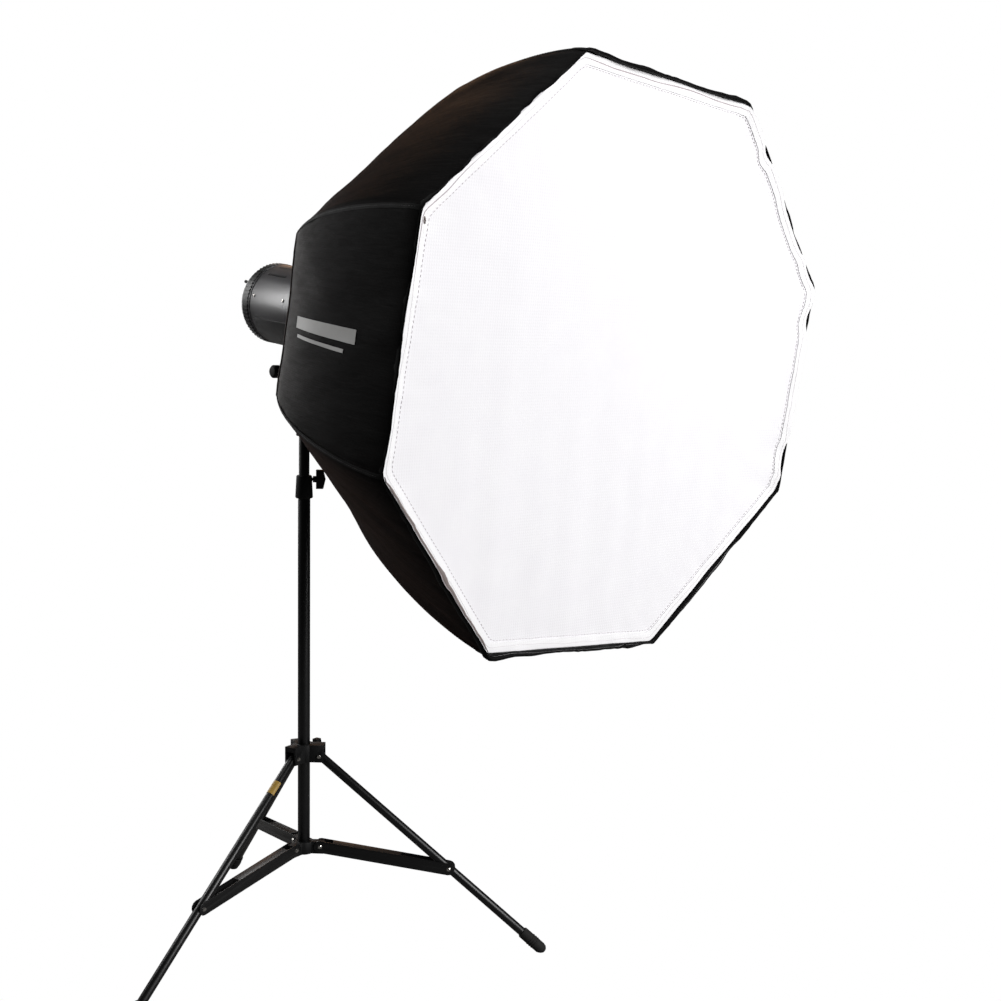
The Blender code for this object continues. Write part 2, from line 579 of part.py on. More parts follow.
# ---------------------------------------------------------------- tilting bracket
def make_socket(mats, foot):
    """The bracket's lower half: a socket over the spigot, with a tongue for the tilt bolt."""
    bore = TOP_TUBE_RADIUS + 0.0002
    outer = bore + SOCKET_WALL
    ceiling = SPIGOT_BASE + SPIGOT_HEIGHT + GAP
    edge = 0.0015
    profile = [
        (0, SOCKET_TOP), (outer - edge, SOCKET_TOP), (outer, SOCKET_TOP - edge),
        (outer, SOCKET_FOOT + edge), (outer - edge, SOCKET_FOOT), (bore, SOCKET_FOOT),
        (bore, ceiling), (0, ceiling),
    ]
    socket = add_object("bracket_socket", turned(profile, 24), mats["casting"], foot)
    side_view = (arc((0, PIVOT_HEIGHT), TONGUE_RADIUS, 0, 180, 8)
                 + [(-TONGUE_RADIUS, SOCKET_TOP - 0.004), (TONGUE_RADIUS, SOCKET_TOP - 0.004)])
    unite(socket, "socket_tongue", moved(prism(side_view, -TONGUE_HALF, TONGUE_HALF), TO_YZ))
    bolt_hole = rod(TILT_BOLT_RADIUS + SCREW_PLAY, -0.03, 0.03)
    screw_height = SOCKET_FOOT + SOCKET_HEIGHT * 0.4
    holes = [
        moved(bolt_hole, Matrix.Translation((0, 0, PIVOT_HEIGHT)) @ ALONG_X),
        radial_hole(SCREW_RADIUS + SCREW_PLAY, bore - 0.002, outer + 0.002, screw_height,
                    SOCKET_KNOB_AZIMUTH),
    ]
    cut(socket, "socket_holes", joined(holes))
    make_knob("socket_knob", mats, foot, screw_height, SOCKET_KNOB_AZIMUTH,
              TOP_TUBE_RADIUS + GAP, outer)


def make_yoke(mats, tilt_pivot):
    """The bracket's upper half: two cheeks on the tilt bolt and a saddle under the barrel."""
    half = TONGUE_HALF + SIDE_PLAY + CHEEK
    saddle_low = BARREL_OVER_PIVOT - SADDLE_HEIGHT * 0.75
    saddle_high = saddle_low + SADDLE_HEIGHT
    end = SADDLE_LENGTH / 2
    side_view = (arc((0, 0), TONGUE_RADIUS, 180, 360, 8)
                 + [(TONGUE_RADIUS, saddle_low), (end, saddle_low), (end, saddle_high),
                    (-end, saddle_high), (-end, saddle_low), (-TONGUE_RADIUS, saddle_low)])
    yoke = add_object("tilt_yoke", moved(prism(side_view, -half, half), TO_YZ),
                      mats["casting"], tilt_pivot)
    slot = TONGUE_HALF + SIDE_PLAY
    slot_top = TONGUE_RADIUS + PIVOT_OVER_SOCKET * 0.1
    cut(yoke, "yoke_slot", block((-slot, -0.1, -0.05), (slot, 0.1, slot_top)))
    barrel_seat = moved(rod(BARREL_RADIUS + GAP, -0.1, 0.1, 64),
                        Matrix.Translation((0, 0, AXIS_OVER_PIVOT)) @ ALONG_Y)
    cut(yoke, "yoke_saddle", barrel_seat)
    cut(yoke, "yoke_bolt_hole", moved(rod(TILT_BOLT_RADIUS + SCREW_PLAY, -0.05, 0.05), ALONG_X))


def make_tilt_handle(mats, tilt_pivot):
    """The tilt bolt with its long grip, on the head's -X side."""
    cheek_face = TONGUE_HALF + SIDE_PLAY + CHEEK
    sleeve_start = cheek_face + GAP
    knob_start = TILT_HANDLE_REACH - TILT_KNOB_DEPTH
    far_end = cheek_face - 0.001
    sleeve = TILT_BOLT_RADIUS + 0.0035
    edge = 0.003
    profile = [
        (0, -far_end), (TILT_BOLT_RADIUS, -far_end), (TILT_BOLT_RADIUS, sleeve_start),
        (sleeve, sleeve_start), (sleeve, knob_start), (TILT_KNOB_RADIUS - edge, knob_start),
        (TILT_KNOB_RADIUS, knob_start + edge), (TILT_KNOB_RADIUS, TILT_HANDLE_REACH - edge),
        (TILT_KNOB_RADIUS - edge, TILT_HANDLE_REACH), (0, TILT_HANDLE_REACH),
    ]
    to_left = Matrix.Rotation(math.radians(-90), 4, "Y")
    add_object("tilt_handle", moved(turned(profile, 20), to_left), mats["casting"], tilt_pivot)


# ---------------------------------------------------------------- flash head
def panel_point(right, up):
    """A point of the rear panel in the head_axis frame, whose +Y points down."""
    return (right, -up)


POWER_DIAL = panel_point(0.022, 0.018)
MODELLING_DIAL = panel_point(-0.022, 0.018)
TEST_BUTTON = panel_point(0.0, 0.034)
POWER_SWITCH = panel_point(0.025, -0.020)
MAINS_INLET = panel_point(-0.014, -0.022)
PEG_FROM_AXIS = COVER_RADIUS - COVER_EDGE - COVER_RIM / 2
PEG_ANGLE = math.radians(145)
SENSOR_PEG = panel_point(PEG_FROM_AXIS * math.cos(PEG_ANGLE), PEG_FROM_AXIS * math.sin(PEG_ANGLE))
DIAL_RADIUS = 0.011
DIAL_HEIGHT = 0.012
SHAFT_RADIUS = 0.003
BUTTON_RADIUS = 0.0038
BUTTON_HEIGHT = 0.003
BUTTON_STEM = 0.004
SWITCH_HALF_WIDTH = 0.0060
SWITCH_RADIUS = 0.0092
SWITCH_PLAY = 0.0006
INLET_HALF = (0.0135, 0.0095)
INLET_FLANGE = 0.002
INLET_LIP = 0.0025
INLET_DEPTH = 0.014
INLET_WALL = 0.0018
PEG_RADIUS = 0.0025
PEG_LENGTH = 0.019


def make_barrel(mats, head_axis):
    barrel = tube(BARREL_RADIUS, BARREL_WALL, BARREL_FRONT, BARREL_REAR, 40)
    add_object("head_barrel", barrel, mats["barrel"], head_axis)
    wall = 0.003
    outer = COVER_RADIUS
    seat = PANEL_RADIUS + GAP
    start = BARREL_REAR + GAP
    profile = [
        (outer, start), (outer, start + 0.010), (outer - 0.001, start + 0.019),
        (outer - 0.0035, COVER_REAR - 0.002), (outer - COVER_EDGE, COVER_REAR), (seat, COVER_REAR),
        (seat, COVER_REAR - 0.006), (outer - wall - 0.0035, COVER_REAR - 0.008),
        (outer - wall, start + 0.010), (outer - wall, start),
    ]
    add_object("rear_cover", turned(profile, 40, closed=True), mats["cover"], head_axis)


def make_panel(mats, head_axis):
    """The rear panel, with a hole for each control that goes through it."""
    low = PANEL_REAR - PANEL_THICKNESS
    panel = add_object("control_panel", rod(PANEL_RADIUS, low, PANEL_REAR, 32), mats["panel"],
                       head_axis)
    through = (low - 0.01, PANEL_REAR + 0.01)

    def round_hole(place, radius):
        return moved(rod(radius, *through), Matrix.Translation((*place, 0)))

    def square_hole(place, half_x, half_y):
        return block((place[0] - half_x, place[1] - half_y, through[0]),
                     (place[0] + half_x, place[1] + half_y, through[1]))

    holes = [
        round_hole(POWER_DIAL, SHAFT_RADIUS + SCREW_PLAY),
        round_hole(MODELLING_DIAL, SHAFT_RADIUS + SCREW_PLAY),
        round_hole(TEST_BUTTON, BUTTON_RADIUS + SCREW_PLAY),
        square_hole(POWER_SWITCH, SWITCH_HALF_WIDTH + SWITCH_PLAY, SWITCH_RADIUS + SWITCH_PLAY),
        square_hole(MAINS_INLET, INLET_HALF[0] + GAP, INLET_HALF[1] + GAP),
    ]
    cut(panel, "panel_holes", joined(holes))


def make_controls(mats, head_axis):
    shaft_end = PANEL_REAR - PANEL_THICKNESS - 0.002
    face = PANEL_REAR + GAP
    for name, place in (("power_dial", POWER_DIAL), ("modelling_dial", MODELLING_DIAL)):
        profile = [
            (0, shaft_end), (SHAFT_RADIUS, shaft_end), (SHAFT_RADIUS, face), (DIAL_RADIUS, face),
            (DIAL_RADIUS - 0.001, face + DIAL_HEIGHT - 0.001),
            (DIAL_RADIUS - 0.002, face + DIAL_HEIGHT), (0, face + DIAL_HEIGHT),
        ]
        add_object(name, turned(profile, 16), mats["dial"], head_axis, (*place, 0))
    button = rod(BUTTON_RADIUS, PANEL_REAR - PANEL_THICKNESS - BUTTON_STEM,
                 PANEL_REAR + BUTTON_HEIGHT, 16)
    add_object("test_button", button, mats["button"], head_axis, (*TEST_BUTTON, 0))

    # a rocker, high at its upper end, turning about its own X
    centre = PANEL_REAR - PANEL_THICKNESS / 2
    bottom = arc((0, 0), SWITCH_RADIUS, 180, 360, 8)
    rocker = moved(prism(bottom + [(0, 0.0035)], -SWITCH_HALF_WIDTH, SWITCH_HALF_WIDTH),
                   TO_YZ)
    add_object("power_switch", rocker, mats["dial"], head_axis, (*POWER_SWITCH, centre),
               (math.radians(-10), 0, 0))


def make_inlet(mats, head_axis):
    """The mains inlet: an open cup through the panel, with a flange on its face."""
    half_x, half_y = INLET_HALF
    floor = PANEL_REAR - INLET_DEPTH
    rear = PANEL_REAR + GAP + INLET_FLANGE
    inlet = add_object("mains_inlet", block((-half_x, -half_y, floor), (half_x, half_y, rear)),
                       mats["cover"], head_axis, (*MAINS_INLET, 0))
    flange = block((-half_x - INLET_LIP, -half_y - INLET_LIP, PANEL_REAR + GAP),
                   (half_x + INLET_LIP, half_y + INLET_LIP, rear))
    unite(inlet, "inlet_flange", flange)
    cavity = block((-half_x + INLET_WALL, -half_y + INLET_WALL, floor + INLET_WALL),
                   (half_x - INLET_WALL, half_y - INLET_WALL, rear + 0.01))
    cut(inlet, "inlet_cavity", cavity)


def make_peg(mats, head_axis):
    """The peg with the light sensor in its round end, on the rear cover's upper left."""
    low = COVER_REAR + GAP
    high = low + PEG_LENGTH
    profile = [
        (0, low), (PEG_RADIUS + 0.0012, low), (PEG_RADIUS + 0.0012, low + 0.003),
        (PEG_RADIUS - 0.0005, low + 0.004), (PEG_RADIUS - 0.0005, high - 0.007),
        (PEG_RADIUS + 0.0004, high - 0.005), (PEG_RADIUS + 0.0004, high - 0.002),
        (PEG_RADIUS - 0.0008, high), (0, high),
    ]
    add_object("sensor_peg", turned(profile, 16), mats["dial"], head_axis, (*SENSOR_PEG, 0))


RELEASE_LENGTH = 0.022
RELEASE_HALF_WIDTH = 0.007
RELEASE_HEIGHT = 0.006
PAN_DEPTH = 0.022
PAN_SHEET = 0.001
LAMP_BASE_RADIUS = 0.012
FLASH_RING_RADIUS = 0.038
FLASH_GLASS_RADIUS = 0.004
CAPACITOR_RADIUS = 0.032
CAPACITOR_LENGTH = 0.110


def make_head_front(mats, head_axis):
    """Bayonet ring, its release slide, and the lamps in their reflector."""
    ring = tube(BAYONET_RADIUS, BAYONET_WALL, BAYONET_FRONT, BAYONET_REAR, 40)
    add_object("bayonet_ring", ring, mats["cover"], head_axis)

    top = -(BARREL_RADIUS + GAP)
    start = BARREL_FRONT + 0.004
    release = block((-RELEASE_HALF_WIDTH, top - RELEASE_HEIGHT, start),
                    (RELEASE_HALF_WIDTH, top, start + RELEASE_LENGTH))
    bmesh.ops.bevel(release, geom=[edge for edge in release.edges
                                   if all(v.co.y < top - 0.001 for v in edge.verts)],
                    offset=0.0015, segments=2, affect="EDGES")
    add_object("bayonet_release", release, mats["dial"], head_axis)

    rim = BARREL_RADIUS - BARREL_WALL - GAP
    back = BARREL_FRONT + 0.007 + PAN_DEPTH
    hole = LAMP_BASE_RADIUS + GAP
    profile = [
        (rim, BARREL_FRONT + 0.007), (rim, BARREL_FRONT + 0.010), (rim - 0.012, back),
        (hole, back), (hole, back - PAN_SHEET), (rim - 0.0125, back - PAN_SHEET),
        (rim - 0.0015, BARREL_FRONT + 0.007),
    ]
    add_object("reflector_pan", turned(profile, 32, closed=True), mats["reflector"], head_axis)

    section = [(FLASH_RING_RADIUS + x, y) for x, y in arc((0, 0), FLASH_GLASS_RADIUS, 0, 300, 5)]
    bm = bmesh.new()
    height = back - PAN_SHEET - GAP - FLASH_GLASS_RADIUS
    face = bm.faces.new([bm.verts.new((x, 0, y + height)) for x, y in section])
    bmesh.ops.spin(bm, geom=[face], cent=(0, 0, 0), axis=(0, 0, 1), angle=math.radians(330),
                   steps=20)
    add_object("flash_tube", bm, mats["glass"], head_axis)

    base = back + 0.020
    glass = 0.010
    tip = BARREL_FRONT + 0.004
    profile = [
        (0, base), (LAMP_BASE_RADIUS, base), (LAMP_BASE_RADIUS, back - 0.003), (glass, back - 0.004),
        (glass, tip + 0.006), (glass * 0.7, tip + 0.002), (0, tip),
    ]
    add_object("modelling_lamp", turned(profile, 20), mats["glass"], head_axis)

    down = BARREL_RADIUS - BARREL_WALL - CAPACITOR_RADIUS - GAP
    can = rod(CAPACITOR_RADIUS, BARREL_REAR - CAPACITOR_LENGTH - 0.010, BARREL_REAR - 0.010, 24)
    add_object("capacitor_bank", can, mats["capacitor"], head_axis, (0, down, 0))


# ---------------------------------------------------------------- softbox
def rib_curve(fraction):
    """Depth behind the front edge and radius of a corner of the fabric; fraction 0 is the front."""
    controls = (
        (0.0, SOFTBOX_RADIUS),
        (RIM_REACH * SOFTBOX_DEPTH, RIM_SWELL * SOFTBOX_RADIUS),
        (SHOULDER_DEPTH * SOFTBOX_DEPTH, SHOULDER_RADIUS * SOFTBOX_RADIUS),
        (SOFTBOX_DEPTH, SHELL_REAR_RADIUS),
    )
    rest = 1 - fraction
    weights = (rest**3, 3 * rest**2 * fraction, 3 * rest * fraction**2, fraction**3)
    return Vector([sum(w * point[i] for w, point in zip(weights, controls)) for i in (0, 1)])


def rib_inset(fraction, inset):
    """The rib curve moved inwards, square to itself."""
    step = 1e-4
    ahead = rib_curve(min(fraction + step, 1))
    behind = rib_curve(max(fraction - step, 0))
    along = (ahead - behind).normalized()
    outward = Vector((-along.y, along.x))
    return rib_curve(fraction) - inset * outward


def fraction_at(depth):
    """Where on the rib curve a depth behind the front edge is reached."""
    fraction = 0.0
    while rib_curve(fraction)[0] < depth:
        fraction += 0.001
    return fraction


def corner_angle(index):
    """Angle of a corner of the softbox, from +X towards +Y of the head_axis frame."""
    return -(math.tau * (index + 0.5) / SIDES + SOFTBOX_ROLL)


def octagon(radius):
    return [(radius * math.cos(corner_angle(i)), radius * math.sin(corner_angle(i)))
            for i in range(SIDES)]


SHELL_ROWS = 11


def make_shell(mats, softbox):
    """The black fabric: eight gores between the ribs, open at the front and around the head."""
    bm = bmesh.new()
    rows = []
    for row in range(SHELL_ROWS + 1):
        depth, radius = rib_curve(row / SHELL_ROWS)
        rows.append([bm.verts.new((x, y, FRONT_PLANE + depth)) for x, y in octagon(radius)])
    for near, far in zip(rows, rows[1:]):
        for i in range(SIDES):
            j = (i + 1) % SIDES
            bm.faces.new((near[i], near[j], far[j], far[i]))
    shell = add_object("softbox_shell", bm, mats["shell"], softbox)
    solidify = shell.modifiers.new("cloth_thickness", "SOLIDIFY")
    solidify.thickness = SHELL_THICKNESS
    solidify.use_even_offset = True
    # an open sheet may be recalculated to face either way, so the wall's side is set from it
    shell.data.calc_loop_triangles()
    polygon = shell.data.polygons[0]
    outward = polygon.normal.dot(Vector((polygon.center.x, polygon.center.y, 0))) > 0
    solidify.offset = -1 if outward else 1


def rib_inset_size():
    """From the fabric's outer corner to the middle of the rod inside it."""
    corner = 1 / math.cos(math.pi / SIDES)
    return (SHELL_THICKNESS + RIB_RADIUS + RIB_PLAY) * corner + 0.0006


def make_rib(index, mats, softbox):
    """A bent rod in a corner of the fabric, from the speedring to the front edge."""
    inset = rib_inset_size()
    curve = bpy.data.curves.new("rib_%d" % (index + 1), "CURVE")
    curve.dimensions = "3D"
    curve.bevel_depth = RIB_RADIUS
    curve.bevel_resolution = 1
    curve.use_fill_caps = True
    spline = curve.splines.new("POLY")
    points = []
    front = fraction_at(DIFFUSER_SET_BACK + RIB_RADIUS)
    # its bends are level with the fabric's own
    for fraction in [front] + [row / SHELL_ROWS for row in range(1, SHELL_ROWS)]:
        depth, radius = rib_inset(fraction, inset)
        if radius > RING_OUTER_RADIUS + 0.004:
            points.append((depth, radius))
    points.append((points[-1][0], RING_OUTER_RADIUS + GAP))
    spline.points.add(len(points) - 1)
    angle = corner_angle(index)
    for point, (depth, radius) in zip(spline.points, points):
        point.co = (radius * math.cos(angle), radius * math.sin(angle), FRONT_PLANE + depth, 1)
    curve.materials.append(mats["rib"])
    obj = bpy.data.objects.new("rib_%d" % (index + 1), curve)
    bpy.context.scene.collection.objects.link(obj)
    obj.parent = softbox


def make_softbox(mats, softbox):
    ring = tube(RING_OUTER_RADIUS, RING_OUTER_RADIUS - BAYONET_BORE, RING_REAR - RING_THICKNESS,
                RING_REAR, 32)
    add_object("speedring", ring, mats["ring"], softbox)
    for index in range(SIDES):
        make_rib(index, mats, softbox)
    make_shell(mats, softbox)
    inner = SOFTBOX_RADIUS - SHELL_THICKNESS * 1.6 - 0.0006
    front = FRONT_PLANE + DIFFUSER_SET_BACK
    add_object("front_diffuser", prism(octagon(inner), front - DIFFUSER_THICKNESS, front),
               mats["diffuser"], softbox)
    # the baffle reaches the ribs at its own depth
    reach = rib_curve(fraction_at(BAFFLE_DEPTH))[1] - rib_inset_size() - RIB_RADIUS - BAFFLE_SLACK
    behind = FRONT_PLANE + BAFFLE_DEPTH
    add_object("inner_baffle", prism(octagon(reach), behind, behind + BAFFLE_THICKNESS),
               mats["diffuser"], softbox)


# ---------------------------------------------------------------- whole object
def centre_on_origin(foot):
    """Move the stand so that the whole object's box stands on the origin."""
    bpy.context.view_layer.update()
    graph = bpy.context.evaluated_depsgraph_get()
    low = Vector((math.inf,) * 3)
    high = Vector((-math.inf,) * 3)
    for obj in bpy.context.scene.objects:
        if obj.type == "EMPTY" or obj.hide_render:
            continue
        shape = obj.evaluated_get(graph)
        mesh = shape.to_mesh()
        for vert in mesh.vertices:
            place = obj.matrix_world @ vert.co
            low = Vector(map(min, low, place))
            high = Vector(map(max, high, place))
        shape.to_mesh_clear()
    foot.location = (-(low.x + high.x) / 2, -(low.y + high.y) / 2, -low.z)
    bpy.context.view_layer.update()


def main():
    clear_scene()
    mats = make_materials()
    foot = empty("stand_foot")
    make_column(mats, foot)
    make_legs(mats, foot)
    make_spigot(mats, foot)
    make_socket(mats, foot)
    tilt_pivot = empty("tilt_pivot", foot, (0, 0, PIVOT_HEIGHT), (TILT, 0, 0))
    make_yoke(mats, tilt_pivot)
    make_tilt_handle(mats, tilt_pivot)
    head_axis = empty("head_axis", tilt_pivot, (0, 0, AXIS_OVER_PIVOT), (math.radians(-90), 0, 0))
    make_barrel(mats, head_axis)
    make_panel(mats, head_axis)
    make_controls(mats, head_axis)
    make_inlet(mats, head_axis)
    make_peg(mats, head_axis)
    make_head_front(mats, head_axis)
    make_softbox(mats, head_axis)
    centre_on_origin(foot)


main()
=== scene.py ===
"""Looks of the studio softbox: cloth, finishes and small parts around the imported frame.

Units are metres and +Z is up, as in the frame. The softbox faces -Y and leans down a little.
`in_head(x, up, back)` gives a place on the flash head: x to the right seen from the rear end,
up square to the head's axis, and back along the axis from over the tilt bolt.
"""

import json
import math

import bpy
import numpy as np
from mathutils import Matrix, Vector, noise

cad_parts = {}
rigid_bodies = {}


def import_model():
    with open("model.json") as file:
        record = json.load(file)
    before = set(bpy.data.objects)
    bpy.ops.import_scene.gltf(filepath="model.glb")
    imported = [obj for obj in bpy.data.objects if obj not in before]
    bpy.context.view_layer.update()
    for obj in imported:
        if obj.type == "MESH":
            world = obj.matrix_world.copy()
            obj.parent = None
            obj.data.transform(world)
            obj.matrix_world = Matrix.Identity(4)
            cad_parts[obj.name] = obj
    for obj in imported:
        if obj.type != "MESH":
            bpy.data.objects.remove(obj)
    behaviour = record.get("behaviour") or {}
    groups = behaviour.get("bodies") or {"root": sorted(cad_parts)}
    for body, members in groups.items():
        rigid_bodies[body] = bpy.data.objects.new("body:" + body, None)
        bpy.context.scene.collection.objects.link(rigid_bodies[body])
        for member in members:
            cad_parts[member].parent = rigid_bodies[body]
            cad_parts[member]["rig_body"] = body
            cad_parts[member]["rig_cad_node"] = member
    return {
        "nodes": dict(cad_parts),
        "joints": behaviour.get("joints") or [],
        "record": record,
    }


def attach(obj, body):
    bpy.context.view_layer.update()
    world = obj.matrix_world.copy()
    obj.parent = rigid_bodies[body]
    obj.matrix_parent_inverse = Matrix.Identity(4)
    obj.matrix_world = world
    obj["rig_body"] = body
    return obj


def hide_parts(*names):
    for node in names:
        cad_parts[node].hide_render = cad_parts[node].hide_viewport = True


# ---------------------------------------------------------------- frame and places on it
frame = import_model()
bpy.ops.object.select_all(action="DESELECT")
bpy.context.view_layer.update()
nodes = frame["nodes"]
joint = {j["name"]: j for j in frame["joints"]}

column_foot = Vector(joint["head_swivel"]["pos_m"])
column_foot.z = 0
tilt_bolt = Vector(joint["head_tilt"]["pos_m"])
ring_centre = Vector(joint["softbox_rotate"]["pos_m"])
REAR = Vector(joint["softbox_rotate"]["axis"]).normalized()
RIGHT = Vector((1, 0, 0))
UP = RIGHT.cross(REAR)
head_centre = ring_centre + REAR * (tilt_bolt - ring_centre).dot(REAR)
HEAD_TURN = Matrix((RIGHT, -UP, REAR)).transposed()      # a turned part's +Z points to the rear


def in_head(x, up, back):
    return head_centre + RIGHT * x + UP * up + REAR * back


# The softbox, as the frame has it
SIDES = 8
FRONT_RADIUS = 0.433            # a corner of the front edge from the axis
DEPTH = 0.537
REAR_RADIUS = 0.0779            # a corner of the opening around the head
FRONT = -0.7640                 # the front edge, along the head's axis
ROLL = math.radians(-4.58)
BARREL_RADIUS = 0.070
PANEL_FACE = 0.1130             # rear panel's face, along the head's axis
LEG_SPREAD = math.radians(49.4)

# ---------------------------------------------------------------- camera
CAMERA_FROM_FOOT = Vector((-1.529, -2.190, 1.102))
CAMERA_HEADING = -42.47         # degrees, as are the next two
CAMERA_DIP = 5.96
CAMERA_LEAN = 0.83
LENS_MM = 53.6
SENSOR_MM = 36
camera = bpy.data.objects.new("camera", bpy.data.cameras.new("camera"))
bpy.context.scene.collection.objects.link(camera)
bpy.context.scene.camera = camera
camera.location = column_foot + CAMERA_FROM_FOOT
camera.rotation_euler = (
    Matrix.Rotation(math.radians(CAMERA_HEADING), 3, "Z")
    @ Matrix.Rotation(math.radians(90 - CAMERA_DIP), 3, "X")
    @ Matrix.Rotation(math.radians(CAMERA_LEAN), 3, "Z")
).to_euler()
camera.data.lens = LENS_MM
camera.data.sensor_width = SENSOR_MM


# ---------------------------------------------------------------- materials
def colour(code):
    """A linear colour from an sRGB hex value."""
    channels = [int(code[i:i + 2], 16) / 255 for i in (1, 3, 5)]
    return (*[c / 12.92 if c <= 0.04045 else ((c + 0.055) / 1.055) ** 2.4 for c in channels], 1.0)


def add_node(owner, kind, inputs=None, **settings):
    """Add a node to a material or world; an input is a value, or the output that feeds it."""
    made = owner.node_tree.nodes.new(kind)
    for name, value in settings.items():
        setattr(made, name, value)
    for name, value in (inputs or {}).items():
        if isinstance(value, bpy.types.NodeSocket):
            owner.node_tree.links.new(value, made.inputs[name])
        else:
            made.inputs[name].default_value = value
    return made


def new_material(name, **shader):
    """A material with plain values on its shader's own sockets."""
    mat = bpy.data.materials.new(name)
    mat.use_nodes = True
    principled = mat.node_tree.nodes["Principled BSDF"]
    for socket, value in shader.items():
        principled.inputs[socket.replace("_", " ")].default_value = value
    return mat, principled


def mottle(mat, place, scale, detail, **more):
    """The value of a noise pattern."""
    inputs = {"Vector": place, "Scale": scale, "Detail": detail, **more}
    return add_node(mat, "ShaderNodeTexNoise", inputs).outputs["Fac"]


def relief(mat, height, strength, distance, **more):
    inputs = {"Height": height, "Strength": strength, "Distance": distance, **more}
    return add_node(mat, "ShaderNodeBump", inputs).outputs["Normal"]


def dressed(mat, principled, shades, shade_by, rough, gloss_by, normal):
    """Give a shader its colour and gloss, each between two values by a pattern, and its relief."""
    shade = add_node(mat, "ShaderNodeMix",
                     {0: shade_by, 6: colour(shades[1]), 7: colour(shades[0])}, data_type="RGBA")
    gloss = add_node(mat, "ShaderNodeMapRange",
                     {"Value": gloss_by, "To Min": rough[0], "To Max": rough[1]})
    feeds = {"Base Color": shade.outputs[2], "Roughness": gloss.outputs["Result"], "Normal": normal}
    for socket, output in feeds.items():
        mat.node_tree.links.new(output, principled.inputs[socket])
    return mat


def moulded(name, light, dark, rough, grain_mm, bump, patch_mm=22.0, **shader):
    """A finish with a fine grain, uneven gloss and slow changes of shade."""
    mat, principled = new_material(name, **shader)
    place = add_node(mat, "ShaderNodeTexCoord").outputs["Object"]
    patches = mottle(mat, place, 1000 / patch_mm, 4.0)
    grain = mottle(mat, place, 1000 / grain_mm, 3.0)
    return dressed(mat, principled, (light, dark), patches, rough, patches,
                   relief(mat, grain, bump, grain_mm / 4000))


def brushed(name, light, dark, rough, streak_mm, stretch, bump, **shader):
    """A metal whose scratches run one way: `stretch` is the pattern's scale on each axis."""
    mat, principled = new_material(name, Metallic=1.0, **shader)
    place = add_node(mat, "ShaderNodeTexCoord").outputs["Object"]
    drawn = add_node(mat, "ShaderNodeMapping", {"Vector": place, "Scale": stretch})
    streaks = mottle(mat, drawn.outputs["Vector"], 1000 / streak_mm, 5.0)
    return dressed(mat, principled, (light, dark), streaks, rough, streaks,
                   relief(mat, streaks, bump, streak_mm / 5000))


WAVE_SCALE = 157.08             # a wave pattern's scale for threads 1 mm apart, two to a wave


def woven(name, light, dark, rough, thread_mm, crease, **shader):
    """Cloth on its own UV map, in metres: over-and-under threads, slubs and fine creases."""
    mat, principled = new_material(name, **shader)
    place = add_node(mat, "ShaderNodeUVMap", uv_map="cloth").outputs["UV"]
    across, along = [
        add_node(mat, "ShaderNodeTexWave",
                 {"Vector": place, "Scale": WAVE_SCALE / thread_mm, "Distortion": 0.4,
                  "Detail": 1.0}, bands_direction=way).outputs["Fac"] for way in "XY"]
    weave = add_node(mat, "ShaderNodeMath", {0: across, 1: along}, operation="MULTIPLY").outputs[0]
    drawn = add_node(mat, "ShaderNodeMapping",
                     {"Vector": place, "Scale": (1.0, 0.14, 1.0)}).outputs["Vector"]
    creases = mottle(mat, drawn, 130.0, 5.0, Roughness=0.62, Distortion=0.5)
    slubs = mottle(mat, place, 24.0, 4.0)
    threads = relief(mat, weave, 0.35, thread_mm / 6000)
    return dressed(mat, principled, (light, dark), slubs, rough, creases,
                   relief(mat, creases, crease, 0.0016, Normal=threads))


